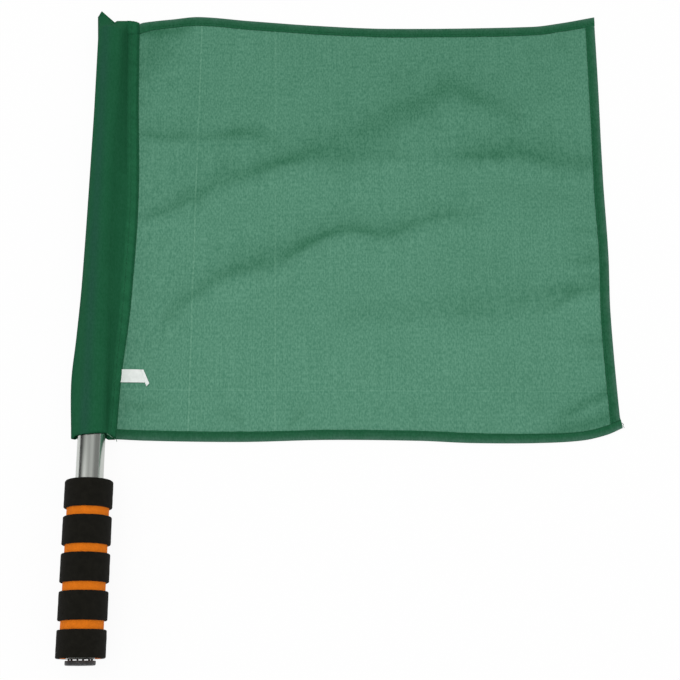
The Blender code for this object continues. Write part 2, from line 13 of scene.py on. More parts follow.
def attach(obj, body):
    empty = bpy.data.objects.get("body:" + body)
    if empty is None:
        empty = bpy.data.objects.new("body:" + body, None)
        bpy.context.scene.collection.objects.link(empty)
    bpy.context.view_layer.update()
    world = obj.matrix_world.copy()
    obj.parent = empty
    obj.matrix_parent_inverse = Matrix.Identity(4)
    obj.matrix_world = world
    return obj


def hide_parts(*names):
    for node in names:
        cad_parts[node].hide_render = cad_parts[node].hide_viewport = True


bl_info = {
    "name": "Linesman flag",
    "version": (1, 0, 0),
    "blender": (4, 5, 0),
    "location": "3D View > Sidebar > Flag",
    "description": "Makes the pole, the foam grip and the cloth of a linesman flag lying flat",
    "category": "Object",
}

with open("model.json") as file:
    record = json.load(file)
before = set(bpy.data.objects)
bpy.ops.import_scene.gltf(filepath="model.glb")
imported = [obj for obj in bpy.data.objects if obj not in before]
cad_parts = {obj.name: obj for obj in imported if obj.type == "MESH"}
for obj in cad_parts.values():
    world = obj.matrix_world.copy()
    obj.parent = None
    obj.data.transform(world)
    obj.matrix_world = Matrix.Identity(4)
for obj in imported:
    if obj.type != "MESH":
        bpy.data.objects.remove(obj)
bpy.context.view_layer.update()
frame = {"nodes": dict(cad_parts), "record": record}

# The pole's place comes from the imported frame: its butt, and the line on which the sleeve turns.
BUTT = Vector(frame["record"]["mounts"][0]["pos_m"])
POLE_AXIS = -Vector(frame["record"]["mounts"][0]["axis"]).normalized()
DIP = -POLE_AXIS.z / POLE_AXIS.y
SHIFT = np.array((BUTT.x, BUTT.y, 0.0))
POLE_PLACE = Matrix.Translation(BUTT) @ Matrix.Rotation(-(math.pi / 2 + math.atan(DIP)), 4, "X")
SHARP_ANGLE = math.radians(40)

# Pole and grip, as distances along the pole from the outer face of the butt plug
TUBE_RADIUS = 0.0095
BORE_RADIUS = 0.0087
TUBE_START = 0.00435
TUBE_END = 0.47335
TUBE_LIP = 0.00025
FLANGE_RADIUS = 0.0101
FLANGE_THICKNESS = 0.0030
FLANGE_EDGE = 0.0009
DIMPLE_RADIUS = 0.0034
DIMPLE_DEPTH = 0.00025
FINGER_COUNT = 6
FINGER_LENGTH = 0.0140
FINGER_DEPTH = 0.0011
FINGER_WIDTH = 0.0011
FINGER_SUNK = 0.0004
TIP_BEVEL_LENGTH = 0.0025
TIP_BEVEL_DEPTH = 0.00055
CORE_RADIUS = 0.0143
RING_RADIUS = 0.0164
RING_STARTS = (0.00435, 0.02852, 0.05349, 0.07846, 0.10343)
RING_ENDS = (0.02275, 0.04772, 0.07269, 0.09766, 0.12263)
CORE_START = RING_STARTS[0] + 0.00025
RING_EDGE = 0.001
FRONT_RING_EDGE = 0.0017
TURN_STEPS = 120
FIT_GAP = 0.0003

# Cloth. Places along the pole are from the same face, HEM_START is out from the pocket's stitching, and
# SEAM_FALL is how far from the strip the panel comes down to the floor.
CLOTH = 0.0004
PANEL_WIDTH = 0.3586
PANEL_HEIGHT = 0.3325
HEM_WIDTH = 0.0072
TOP_HEM_WIDTH = 0.0078
FLY_HEM_WIDTH = 0.0074
TOP_CORNER_WIDTH = 0.0077
CORNER_WIDTH = 0.0062
HEM_STEP = 0.0014
HEM_FOLD = 0.0007
SLEEVE_MOUTH = 0.1542
SLEEVE_LENGTH = 0.3337
SLEEVE_TOP = SLEEVE_MOUTH + SLEEVE_LENGTH
CLOSING_START = 0.4739
FLAT_SHARE = 0.93
STRIP_WIDTH = 0.0093
FLY = STRIP_WIDTH + PANEL_WIDTH
STRIP_OVERLAP = 0.0060
SEAM_DROP = 0.0055
LEFT_FOLD_DROP = 0.0045
CAVITY_RADIUS = 0.0099
SNUG_RADIUS = CAVITY_RADIUS + CLOTH
LEFT_FOLD_RADIUS = 0.00015
SEAM_THICKNESS = 0.0018
SEAM_SLOT = 0.0010
HEM_START = 0.01058
SEAM_FALL = 0.024

# Points of the sleeve's section: over the pole and again under it, round the left fold, and between these
OVER_POINTS = 27
FOLD_POINTS = 7
BRIDGE_POINTS = 4
SECTION_POINTS = 2 * OVER_POINTS + FOLD_POINTS + 2 * BRIDGE_POINTS

# Sections of the closing end, and how frayed each of the first sections at the mouth is
CLOSING_STEPS = 17
MOUTH_FADE = (1.0, 0.75, 0.5, 0.2)

# The painted highlight on the tube and the painted sheen on the sleeve lie this far to the left of the pole's
# line.
PAINTED_LIGHT_LINE = 0.0030

# How the cloth lies: the sleeve's looseness and the strip's slope along the sleeve, the panel's three free
# edges across or up it, the closed end's outline from its left corner, and the two creases beside it,
# which are only painted shade
LEFT_SLACK = ((0, 0.0052), (0.12, 0.0073), (0.22, 0.0054), (0.34, 0.0036), (0.62, 0.0020), (0.93, 0.0012),
              (1, 0.0024))
RIGHT_SLACK = ((0, 0.0001), (0.15, 0.0022), (0.30, 0.0047), (0.54, 0.0068), (0.80, 0.0038), (1, 0.0020))
STRIP_SLOPE = ((0, 57.0), (0.15, 55.0), (0.30, 31.0), (0.54, 19.0), (0.75, 8.0), (1, 10.0))
TOP_EDGE = ((0, -0.0007), (0.008, 0.0004), (0.07, 0.0035), (0.13, 0.0056), (0.24, 0.0011), (0.39, -0.0046),
            (0.55, -0.0087), (0.86, -0.0098), (0.93, -0.0070), (1, -0.0026))
BOTTOM_EDGE = ((0, 0), (0.06, -0.0012), (0.25, -0.0032), (0.42, -0.0028), (0.60, -0.0046), (0.70, -0.0068),
               (0.83, -0.0077), (0.92, -0.0064), (0.97, -0.0025), (1, 0.0020))
FLY_EDGE = ((0, 0), (0.03, -0.0013), (0.26, -0.0018), (0.40, 0.0002), (0.60, 0.0009), (0.80, 0.0029),
            (1, 0.0043))
DOG_EAR = ((0, 0.0040), (0.0023, 0.0088), (0.0132, -0.0016), (0.0142, 0.0), (0.0270, 0.0),
           (0.0325, -0.0012), (0.0345, -0.0026))
END_CREASES = (((0.0120, 0.4755), (0.0140, 0.4760), (0.0215, 0.4776)),
               ((-0.0127, 0.4946), (-0.0112, 0.4922), (-0.0090, 0.4922), (-0.0076, 0.4955)))

# The panel's folds: each one's height in millimetres, then its path. A point of the path is across and along
# in millimetres, how much painted shade the cloth gets there from 0 to 1, and how far it reaches above and
# below.
FOLDS = (
    (4.5, ((18, 318, 0.05, 5, 3), (28, 321, 0.25, 6, 3), (46, 327, 0.60, 6, 3), (67, 337, 0.50, 9, 4),
           (85, 349, 0.50, 9, 4), (108, 356, 0.60, 8, 3.5), (134, 364, 0.90, 7, 3), (157, 371, 0.58, 9, 5),
           (180, 379, 0.44, 12, 14), (203, 393, 0.46, 12, 17), (222, 405, 0.56, 11, 15),
           (242, 414, 0.58, 10, 11), (260, 423, 0.70, 8, 9), (277, 417, 0.62, 9, 6),
           (295, 407, 0.45, 8, 6), (314, 395, 0.05, 8, 6))),
    (3.4, ((149, 368, 0.05, 8, 2.2), (161, 366, 0.22, 9, 2.2), (180, 366, 0.33, 11, 2.2),
           (206, 366, 0.29, 12, 2.4), (236, 367, 0.13, 9, 3), (259, 366, 0.24, 6, 3),
           (274, 366, 0.66, 8, 3), (289, 365, 0.78, 10, 3), (308, 366, 0.66, 13, 4),
           (331, 362, 0.68, 13, 4), (349, 360, 0.55, 9, 5), (366, 358, 0.50, 6, 4))),
    (4.2, ((45, 240, 0.05, 8, 5), (52, 248, 0.22, 8, 6), (60, 256, 0.38, 8, 6), (75, 266, 0.44, 8, 4),
           (88, 275, 0.52, 7, 4), (108, 281, 0.55, 9, 5), (131, 287, 0.62, 9, 5), (145, 294, 0.80, 7, 3),
           (162, 303, 0.95, 5, 2.5), (179, 309, 0.72, 6, 3), (190, 308, 0.80, 6, 2.5),
           (205, 304, 0.60, 7, 3), (223, 309, 0.55, 7, 3), (242, 316, 0.55, 5, 3), (261, 319, 0.45, 5, 4),
           (281, 320, 0.02, 5, 4))),
    (2.0, ((15, 391, 0.30, 3, 3), (23, 391, 0.40, 3, 3), (42, 388, 0.60, 4, 2.5), (65, 388, 0.35, 5, 3),
           (85, 388, 0.50, 4, 3), (100, 391, 0.75, 4, 4), (117, 388, 0.35, 6, 4), (132, 379, 0.03, 6, 4))),
    (1.4, ((160, 238, 0.02, 8, 8), (171, 241, 0.12, 8, 8), (203, 246, 0.22, 8, 8), (233, 246, 0.20, 8, 8),
           (262, 245, 0.30, 12, 8), (287, 249, 0.30, 12, 8), (313, 254, 0.30, 8, 8),
           (332, 259, 0.38, 5, 5), (344, 259, 0.52, 5, 4), (363, 261, 0.45, 4, 3))),
    (0.6, ((312, 241, 0.02, 4, 3), (323, 245, 0.25, 4, 3), (335, 250, 0.40, 3, 2), (346, 256, 0.30, 3, 2),
           (353, 258, 0.02, 3, 2))),
    (0.7, ((337, 283, 0.02, 3, 3), (348, 282, 0.35, 3, 3), (362, 282, 0.50, 3, 3))),
    (0.8, ((317, 160, 0.02, 5, 4), (326, 164, 0.20, 5, 4), (337, 169, 0.46, 4, 3),
           (351, 176, 0.62, 3.5, 2.5), (364, 182, 0.66, 3.5, 2.5))),
    (0.6, ((308, 152, 0.02, 5, 4), (325, 154, 0.50, 4, 4), (345, 159, 0.72, 4, 5),
           (363, 164, 0.75, 4, 5))),
    (0.3, ((306, 170, 0.02, 4, 3), (316, 172, 0.22, 4, 3), (326, 174, 0.02, 4, 3))),
    (0.7, ((17, 180, 0.36, 1.5, 2.5), (34, 178, 0.46, 1.5, 2.5), (51, 181, 0.03, 2, 3))),
    (1.2, ((20, 459, 0.42, 14, 14), (36, 461, 0.50, 13, 12), (58, 466, 0.03, 9, 9))),
    (0.5, ((15, 439, 0.30, 2.5, 2.5), (22, 439, 0.50, 2.5, 2.5), (34, 438, 0.03, 2.5, 2.5))),
    (0.5, ((15, 418, 0.20, 3, 3), (22, 417, 0.30, 3, 3), (36, 415, 0.02, 3, 3))),
    (0.4, ((19, 478.2, 0.80, 2, 2.2), (26, 479.0, 0.95, 2, 4), (36, 480.0, 0.95, 2, 5),
           (50, 481.0, 0.97, 2, 4.5), (57, 482.0, 0.70, 2, 4), (65, 483, 0.03, 2, 4))),
    (0.5, ((344, 307, 0.02, 4, 3), (352, 306, 0.22, 4, 3), (363, 303, 0.30, 4, 3))),
    (0.4, ((339, 295, 0.02, 4, 3), (350, 294, 0.18, 4, 3), (363, 289, 0.20, 4, 3))),
    (0.4, ((343, 272, 0.02, 3, 3), (352, 270, 0.25, 3, 3), (363, 268, 0.30, 3, 3))),
    (0.4, ((342, 221, 0.02, 3, 2.5), (351, 221, 0.28, 3, 2.5), (363, 219, 0.32, 3, 2.5))),
    (0.3, ((345, 210, 0.02, 3, 2.5), (353, 210, 0.20, 3, 2.5), (364, 208, 0.25, 3, 2.5))),
    (0.3, ((137, 163, 0.25, 3, 2.5), (145, 170, 0.25, 3, 2.5), (155, 179, 0.02, 3, 2.5))),
    (0.3, ((81, 175, 0.02, 4, 3), (93, 171, 0.22, 4, 3), (105, 164, 0.25, 4, 3))),
    (0.3, ((220, 172, 0.02, 3, 3), (226, 169, 0.28, 3, 3), (229, 162, 0.28, 3, 3))),
    (0.4, ((342, 465, 0.02, 6, 4), (350, 460, 0.25, 6, 4), (358, 454, 0.02, 6, 4))),
    (0.5, ((43, 249, 0.02, 9, 9), (54, 245, 0.10, 9, 9), (69, 231, 0.02, 9, 9))),
    (0.4, ((281, 344, 0.02, 8, 8), (318, 335, 0.12, 8, 8), (348, 332, 0.10, 8, 8))),
)

# A fold whose path ends past this, in millimetres, runs on to the fly edge.
FOLDS_RUN_ON = 340

# The mouth's upper layer drawn back by the seam: distance across, and how far. The hem's painted highlight
# where it turns over: distance in from the finished edge, and the share of the highlight's colour.
DRAWN_BACK = ((0.0020, 0), (0.0058, 0.0006), (0.0092, 0.0016), (0.0118, 0.0022), (0.0134, 0.0006))
HEM_PAINTED_HIGHLIGHT = ((0, 1.0), (0.0009, 0.9), (0.0021, 0.55), (0.0033, 0.24), (0.0047, 0.10), (0.0072, 0.0))

# The weave: its pitch, the scale and share of its three kinds of unevenness, how much thick and thin
# threads differ in red, green and blue, and the panel's two thick threads and its crease, with the darker
# lines beside them; the crease's pale line and the dark line beside it are painted highlight and shade.
# Each has its two ends and its width in millimetres, and factors for red, green and blue.
THREAD_PITCH = 0.00045
WEAVE_NOISE = (((900, 450, 600), 0.70), ((1250, 12, 60), 0.18), ((16, 1100, 60), 0.12))
PANEL_GRAIN = (0.300, 0.178, 0.214)
HEM_GRAIN = (0.22, 0.12, 0.16)
SLEEVE_GRAIN = (0.16, 0.07, 0.11)
SLUBS = (((68.9, 480.8), (65.1, 160.3), 1.6, (1.42, 1.22, 1.26)),
         ((67.7, 480.8), (63.9, 160.3), 1.2, (0.86, 0.92, 0.90)),
         ((70.2, 480.8), (66.4, 160.3), 1.2, (0.88, 0.94, 0.92)),
         ((127.2, 480.0), (127.0, 160.0), 1.5, (1.24, 1.13, 1.15)),
         ((66.0, 189.5), (359.0, 182.6), 1.4, (1.18, 1.10, 1.12)),
         ((66.0, 188.4), (359.0, 181.5), 1.2, (0.90, 0.95, 0.94)))

# One stitch: share of its length, height and girth, both as multiples of the thread's radius
STITCH_ARCH = ((0.0, -0.9, 0.6), (0.16, 0.35, 1.0), (0.5, 0.75, 1.0), (0.84, 0.35, 1.0), (1.0, -0.9, 0.6))
STITCH_SIDES = 6
CORD_SIDES = 8

# Loose ends of thread and the frayed edge at the mouth: radius, and path from the point under the butt
LOOSE_ENDS = (
    ("loose_thread_mouth", 0.00022,
     ((0.0128, 0.1556, 0.0062), (0.0138, 0.1546, 0.0048), (0.0146, 0.1538, 0.0030),
      (0.0149, 0.1532, 0.0020), (0.0145, 0.1527, 0.0012))),
    ("loose_thread_corner", 0.00022,
     ((0.3704, 0.1590, 0.0012), (0.3724, 0.1597, 0.0016), (0.3732, 0.1587, 0.0014),
      (0.3729, 0.1577, 0.0012), (0.3738, 0.1563, 0.0006))),
    ("frayed_mouth_edge", 0.00025,
     ((0.0090, 0.1562, 0.0188), (0.0099, 0.1564, 0.0125), (0.0104, 0.1562, 0.0096),
      (0.0118, 0.1554, 0.0066), (0.0124, 0.1546, 0.0054))),
)

# The label's two parts: corners in millimetres, then how high it lies and how far it bows
LABEL_THICKNESS = 0.00028
LABEL_PARTS = (
    (((15.4, 205.4), (31.8, 204.9), (34.2, 195.3), (15.2, 195.8)), 0.25, 0.5),
    (((30.0, 204.6), (32.2, 204.9), (36.7, 194.6), (34.7, 192.4)), 0.62, 0.25),
)

# The camera that was fitted to the photograph, and the lamps with their share of the lamp's power
CAMERA_PLACE = (0.006394, -0.256892, 0.808288)
CAMERA_TURNS = ((2.941, "Z"), (16.156, "X"), (-3.8975, "Z"))
CAMERA_LENS = 61.4217
LAMPS = (("key_lamp", (-0.35, 0.25, 1.6), 1.0), ("fill_lamp", (0.8, -0.6, 1.6), 0.35))
LAMP_SIZE = 1.6

# What the polished tube sees of the room, from its left side over its top to its right: place and brightness
ROOM_TONES = ((0.0, 0.04), (0.025, 0.02), (0.067, 0.15), (0.117, 0.32), (0.172, 0.49), (0.235, 0.61),
              (0.305, 0.63), (0.379, 0.60), (0.447, 0.53), (0.517, 0.50), (0.595, 0.57), (0.671, 0.69),
              (0.742, 0.66), (0.80, 0.40), (0.866, 0.31), (0.956, 0.28), (1.0, 0.31))


# Small maths


def mix(low, high, share):
    return low + (high - low) * share


def ease(share):
    share = np.clip(share, 0.0, 1.0)
    return share * share * (3 - 2 * share)


def bell(offset, width):
    """1 at no offset, falling smoothly towards 0 past the width."""
    return np.exp(-((offset / width) ** 2))


def along_curve(points, at):
    """Values of the smooth curve through the points, held level past its ends."""
    xs, ys = np.array([p[0] for p in points], float), np.array([p[1] for p in points], float)
    last = len(xs) - 1
    low, high = np.maximum(np.arange(last + 1) - 1, 0), np.minimum(np.arange(last + 1) + 1, last)
    slopes = (ys[high] - ys[low]) / (xs[high] - xs[low])
    at = np.clip(np.asarray(at, float), xs[0], xs[-1])
    index = np.clip(np.searchsorted(xs, at) - 1, 0, last - 1)
    span = xs[index + 1] - xs[index]
    t = (at - xs[index]) / span
    rise = (2 * t**3 - 3 * t**2 + 1) * ys[index] + (3 * t**2 - 2 * t**3) * ys[index + 1]
    return rise + span * ((t**3 - 2 * t**2 + t) * slopes[index] + (t**3 - t**2) * slopes[index + 1])


def ripple(x, y, seed, wavelengths):
    """A smooth, even mix of waves in several directions, from about -1 to 1."""
    choice = np.random.default_rng(seed)
    total = np.zeros(np.broadcast(x, y).shape)
    for wavelength in wavelengths:
        for _ in range(4):
            angle, phase = choice.uniform(0, math.pi), choice.uniform(0, 2 * math.pi)
            total += np.sin(2 * math.pi * (x * math.cos(angle) + y * math.sin(angle)) / wavelength + phase)
    return total / (2.2 * math.sqrt(len(wavelengths) * 4))


# Meshes


def piece_from(name, points, faces, material, body, slot):
    """A shown piece made of points and faces."""
    mesh = bpy.data.meshes.new(name)
    mesh.from_pydata([tuple(p) for p in points], [], faces)
    shape = bmesh.new()
    shape.from_mesh(mesh)
    bpy.data.meshes.remove(mesh)
    return piece_of(name, shape, material, body, slot)


def piece_of(name, shape, material, body, slot, placed=None):
    """A shown piece with smooth shading and sharp edges, riding on a body of the frame."""
    bmesh.ops.recalc_face_normals(shape, faces=shape.faces)
    mesh = bpy.data.meshes.new(name)
    shape.to_mesh(mesh)
    shape.free()
    mesh.shade_smooth()
    mesh.set_sharp_from_angle(angle=SHARP_ANGLE)
    mesh.materials.append(material)
    piece = bpy.data.objects.new(name, mesh)
    bpy.context.scene.collection.objects.link(piece)
    if placed is not None:
        piece.matrix_world = placed
    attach(piece, body)
    return piece


def vertex_places(piece):
    places = np.empty(len(piece.data.vertices) * 3)
    piece.data.vertices.foreach_get("co", places)
    return places.reshape(-1, 3)


def put_attribute(piece, name, values):
    attribute = piece.data.attributes.new(name, "FLOAT", "POINT")
    attribute.data.foreach_set("value", np.asarray(values, np.float32))


def arc(centre, radius, start, end, count):
    angles = np.radians(np.linspace(start, end, count))
    return [(centre[0] + radius * math.cos(a), centre[1] + radius * math.sin(a)) for a in angles]


def straight(radius, start, end, count):
    return [(radius, height) for height in np.linspace(start, end, count)]


def turned(profile, segments):
    """A solid of revolution about local Z, from a closed profile of radius and height."""
    shape = bmesh.new()
    ring = [shape.verts.new((radius, 0.0, height)) for radius, height in profile]
    edges = [shape.edges.new((ring[index - 1], ring[index])) for index in range(len(ring))]
    bmesh.ops.spin(shape, geom=ring + edges, cent=(0, 0, 0), axis=(0, 0, 1), angle=2 * math.pi,
                   steps=segments, use_merge=True)
    bmesh.ops.remove_doubles(shape, verts=shape.verts, dist=1e-6)
    return shape


def loop_rows(shape, rings):
    """Joins closed rings of equal length with quads and returns their vertices."""
    rows = [[shape.verts.new(tuple(point)) for point in ring] for ring in rings]
    for lower, upper in zip(rows, rows[1:]):
        for index in range(len(lower)):
            shape.faces.new((lower[index - 1], lower[index], upper[index], upper[index - 1]))
    return rows


def capped(rings, shape=None):
    """A bar through closed rings, with both ends closed, in a new mesh or beside what a mesh holds."""
    shape = bmesh.new() if shape is None else shape
    rows = loop_rows(shape, rings)
    shape.faces.new(rows[0])
    shape.faces.new(rows[-1])
    return shape


def roughen(shape, depth, size, seed):
    """Moves each vertex a little in or out, so that foam isn't perfectly round."""
    shape.normal_update()
    for vertex in shape.verts:
        place = vertex.co / size + Vector((seed, seed * 1.7, 0))
        vertex.co += vertex.normal * depth * noise.noise(place)
    return shape


# Materials


def toned(colour, factor):
    return tuple(factor * part for part in colour)


class Nodes:
    """A node tree, with short ways to add nodes whose inputs are set or linked at once."""

    def __init__(self, tree):
        self.tree = tree

    def put(self, socket, value):
        """Links another node's output to the socket, or sets its own value."""
        if isinstance(value, bpy.types.NodeSocket):
            self.tree.links.new(value, socket)
        else:
            socket.default_value = value

    def add(self, kind, inputs, **settings):
        """A node with its inputs, each a value or another node's output, and its other settings."""
        made = self.tree.nodes.new("ShaderNode" + kind)
        for key, value in settings.items():
            setattr(made, key, value)
        for key, value in inputs.items():
            self.put(made.inputs[key], value)
        return made

    def maths(self, kind, first, second):
        return self.add("Math", {0: first, 1: second}, operation=kind).outputs[0]

    def range(self, value, low, high, to_low=0.0, to_high=1.0):
        inputs = {"Value": value, "From Min": low, "From Max": high, "To Min": to_low, "To Max": to_high}
        return self.add("MapRange", inputs).outputs["Result"]

    def blend(self, share, first, second):
        """Two colours, given as numbers or as outputs, mixed by a share."""
        first, second = (value if isinstance(value, bpy.types.NodeSocket) else (*value[:3], 1.0)
                         for value in (first, second))
        return self.add("Mix", {"Factor": share, 6: first, 7: second}, data_type="RGBA").outputs[2]

    def seen_straight(self, rays):
        """1 for what the camera sees, also through something clear."""
        return self.maths("MAXIMUM", rays["Is Camera Ray"], rays["Is Transmission Ray"])


class Finish(Nodes):
    """A material's node tree, with short ways to add what these finishes need."""

    def __init__(self, name, roughness, metallic=0.0, specular=0.5, sheen=0.0):
        self.material = bpy.data.materials.new(name)
        self.material.use_nodes = True
        super().__init__(self.material.node_tree)
        self.shader = self.tree.nodes["Principled BSDF"]
        self.give("Roughness", roughness)
        self.give("Metallic", metallic)
        self.give("Specular IOR Level", specular)
        self.give("Sheen Weight", sheen)
        self.place = self.add("TexCoord", {}).outputs["Object"]

    def give(self, name, value):
        self.put(self.shader.inputs[name], value)

    def stretched(self, scale):
        """The piece's own coordinates, multiplied along each axis."""
        return self.add("Mapping", {"Vector": self.place, "Scale": scale}).outputs["Vector"]

    def noise(self, scale, detail=3.0, roughness=0.6):
        """Soft noise with as many waves to the metre along each axis as its scale says."""
        inputs = {"Vector": self.stretched(scale), "Scale": 1.0, "Detail": detail, "Roughness": roughness}
        return self.add("TexNoise", inputs).outputs["Fac"]

    def cells(self, scale):
        return self.add("TexVoronoi", {"Vector": self.stretched(scale), "Scale": 1.0}).outputs["Distance"]

    def ribs(self, direction, pitch, wander):
        """Even ridges at a pitch in metres, across X, Y or Z."""
        scale = 2 * math.pi / (20 * pitch)
        inputs = {"Vector": self.place, "Scale": scale, "Distortion": wander, "Detail": 1.0}
        return self.add("TexWave", inputs, wave_type="BANDS", bands_direction=direction).outputs["Fac"]

    def attribute(self, name):
        return self.add("Attribute", {}, attribute_name=name).outputs["Fac"]

    def dim(self, colour, value, low, high):
        """The colour multiplied by a number that runs from low to high with the value."""
        inputs = {0: colour, "Scale": self.range(value, 0.0, 1.0, low, high)}
        return self.add("VectorMath", inputs, operation="SCALE").outputs["Vector"]

    def tinted(self, colour, factors):
        """The colour multiplied by a factor for each of red, green and blue."""
        return self.add("VectorMath", {0: colour, 1: factors}, operation="MULTIPLY").outputs["Vector"]

    def thread_line(self, start, end, width):
        """1 on one straight thread of the weave between two places, falling to 0 at half its width."""
        run = end - start
        facing = Vector((run.y, -run.x, 0)).normalized()
        along = self.add("VectorMath", {0: self.place, 1: facing}, operation="DOT_PRODUCT").outputs["Value"]
        offset = self.maths("SUBTRACT", along, facing.dot(start))
        return self.range(self.maths("ABSOLUTE", offset, 0.0), 0.0, width / 2, 1.0, 0.0)

    def bump(self, height, distance, strength, under=None):
        inputs = {"Height": height, "Distance": distance, "Strength": strength}
        if under is not None:
            inputs["Normal"] = under
        normal = self.add("Bump", inputs).outputs["Normal"]
        self.give("Normal", normal)
        return normal


def cloth_finish(name, colour, shaded, grain, slubs=(), gloss=0.02, stretched=None):
    """Plain-woven cloth whose tone follows the painted light and shade in the piece's shade attribute, with a
    painted sheen where a colour is given for it, and uneven threads both ways.
    """
    finish = Finish(name, 0.88, specular=gloss)
    tone = finish.blend(finish.attribute("shade"), colour, shaded)
    if stretched is not None:
        # Painted sheen, where the stretched colour is given.
        tone = finish.blend(finish.attribute("painted_sheen"), tone, stretched)
    uneven = 0.0
    for scale, share in WEAVE_NOISE:
        uneven = finish.maths("ADD", uneven, finish.maths("MULTIPLY", finish.noise(scale, 1.0, 0.5), share))
    uneven = finish.range(uneven, 0.35, 0.65)
    thick, thin = (finish.tinted(tone, tuple(1 + way * part for part in grain)) for way in (-1, 1))
    tone = finish.blend(uneven, thick, thin)
    for start, end, width, factors in slubs:
        tone = finish.blend(finish.thread_line(start, end, width), tone, finish.tinted(tone, factors))
    finish.give("Base Color", tone)
    warp, weft = (finish.ribs(direction, THREAD_PITCH, wander=0.6) for direction in "XY")
    weave = finish.maths("MAXIMUM", warp, finish.maths("MULTIPLY", weft, 0.9))
    finish.bump(weave, distance=0.00005, strength=0.4)
    return finish.material


def panel_finish(colour, painted_shade):
    """The thin cloth, with two thick threads up it and one faint crease across it, painted as a highlight
    beside shade.
    """
    slubs = []
    for start, end, width, factors in SLUBS:
        ends = [Vector((SHIFT[0] + x / 1000, SHIFT[1] + y / 1000, 0)) for x, y in (start, end)]
        slubs.append((*ends, width / 1000, factors))
    return cloth_finish("thin_green_cloth", colour, painted_shade, PANEL_GRAIN, slubs, 0.05)


def steel_finish(colour):
    """Steel tube polished along its length, with faint streaks, rubbed patches and a painted highlight along
    its top.
    """
    finish = Finish("polished_tube", 0.15, metallic=1.0)
    streak, patch = finish.noise((900, 900, 14)), finish.noise((60, 60, 25))
    steel = finish.blend(finish.range(streak, 0.3, 0.7), toned(colour, 0.90), colour)
    finish.give("Base Color", finish.blend(finish.attribute("wear_and_painted_highlight"), steel, toned(colour, 1.7)))
    finish.give("Roughness", finish.range(finish.maths("ADD", streak, patch), 0.7, 1.3, 0.17, 0.26))
    finish.bump(finish.noise((2600, 2600, 30), 2.0), distance=0.00001, strength=0.35)
    return finish.material


def foam_finish(name, colour, worn, turned_lines):
    """Closed-cell foam: matt, with fine cells and soft uneven tone."""
    finish = Finish(name, 0.95, specular=0.10, sheen=0.02)
    cells = finish.cells((2600, 2600, 2600))
    coarse = finish.noise((260, 260, 260), 4.0, 0.65)
    tone = finish.blend(finish.range(coarse, 0.35, 0.70), colour, worn)
    finish.give("Base Color", finish.dim(tone, finish.range(cells, 0.0, 0.8), 0.86, 1.10))
    under = finish.bump(cells, distance=0.00008, strength=0.55)
    if turned_lines:
        finish.bump(finish.ribs("Z", pitch=0.0011, wander=1.5), 0.00010, 0.35, under)
    else:
        finish.bump(coarse, 0.00020, 0.4, under)
    return finish.material


def plastic_finish(colour):
    """Moulded dark plastic with a fine spark-eroded grain and rubbed spots."""
    finish = Finish("moulded_plug", 0.5, specular=0.4)
    wear_and_painted_highlight = finish.noise((240, 240, 240), 4.0)
    finish.give("Base Color", finish.blend(finish.range(wear_and_painted_highlight, 0.5, 0.75), colour, toned(colour, 2.2)))
    finish.give("Roughness", finish.range(wear_and_painted_highlight, 0.3, 0.7, 0.42, 0.60))
    finish.bump(finish.noise((2500, 2500, 2500), 2.0), distance=0.00003, strength=0.4)
    return finish.material


def thread_finish(name, colour):
    """Sewing thread with its twist."""
    finish = Finish(name, 0.8, specular=0.05)
    twist = finish.noise((1800, 1800, 1800), 2.0, 0.5)
    finish.give("Base Color", finish.blend(finish.range(twist, 0.3, 0.7), toned(colour, 0.8), colour))
    finish.bump(twist, distance=0.00004, strength=0.5)
    return finish.material


def label_finish(colour):
    """Woven satin tape, with fine ribs across it."""
    finish = Finish("satin_tape", 0.5, specular=0.35, sheen=0.15)
    rib = finish.ribs("Y", pitch=0.00035, wander=0.3)
    dirt = finish.noise((300, 300, 300))
    tone = finish.blend(finish.range(dirt, 0.35, 0.75), colour, toned(colour, 0.90))
    finish.give("Base Color", finish.dim(tone, rib, 0.96, 1.02))
    finish.bump(rib, distance=0.00004, strength=0.4)
    return finish.material


# Where the cloth lies. Distances are across from the pole's line and along it; heights are above the floor.


def pole_height(along):
    return BUTT.z - along * DIP


def sleeve_share(along):
    return (np.asarray(along, float) - SLEEVE_MOUTH) / SLEEVE_LENGTH


def left_fold(along):
    """Centre of the sleeve's left fold, across and up."""
    reach = SNUG_RADIUS + along_curve(LEFT_SLACK, sleeve_share(along))
    return np.stack([-(reach - LEFT_FOLD_RADIUS - CLOTH), pole_height(along) - LEFT_FOLD_DROP], -1)


def pocket_seam(along):
    """Centre of the stitched line that closes the pocket, across and up."""
    half_width = math.sqrt(SNUG_RADIUS**2 - SEAM_DROP**2)
    slack = along_curve(RIGHT_SLACK, sleeve_share(along))
    return np.stack([half_width + slack, pole_height(along) - SEAM_DROP + 0 * slack], -1)


def strip_direction(along):
    slope = np.radians(along_curve(STRIP_SLOPE, sleeve_share(along)))
    return np.stack([np.cos(slope), -np.sin(slope)], -1)


def strip_edge(along):
    """The outer edge of the stitched strip, where the panel comes out of it."""
    return pocket_seam(along) + strip_direction(along) * STRIP_WIDTH


def sleeve_outline(across):
    """The closed end of the sleeve in plan: level, with its left corner standing up as a dog-ear."""
    inward = across - left_fold(SLEEVE_TOP)[0]
    return SLEEVE_TOP + np.interp(inward, [p[0] for p in DOG_EAR], [p[1] for p in DOG_EAR])


def fold_reaches(x, y):
    """For each fold: its height, and at a point its strength, its two reaches and the distance above it."""
    wander = ripple(x, 0 * x, 5, (23.0, 11.0, 6.0))
    for height, path in FOLDS:
        path = np.array(path, float)
        past = path[-1] if path[-1, 0] > FOLDS_RUN_ON else 0 * path[-1]
        strength, above, below = (np.interp(x, path[:, 0], path[:, k], left=0, right=past[k])
                                  for k in (2, 3, 4))
        offset = y - along_curve(path[:, :2], x) + wander
        yield height, strength, np.maximum(above, 1), np.maximum(below, 1), offset


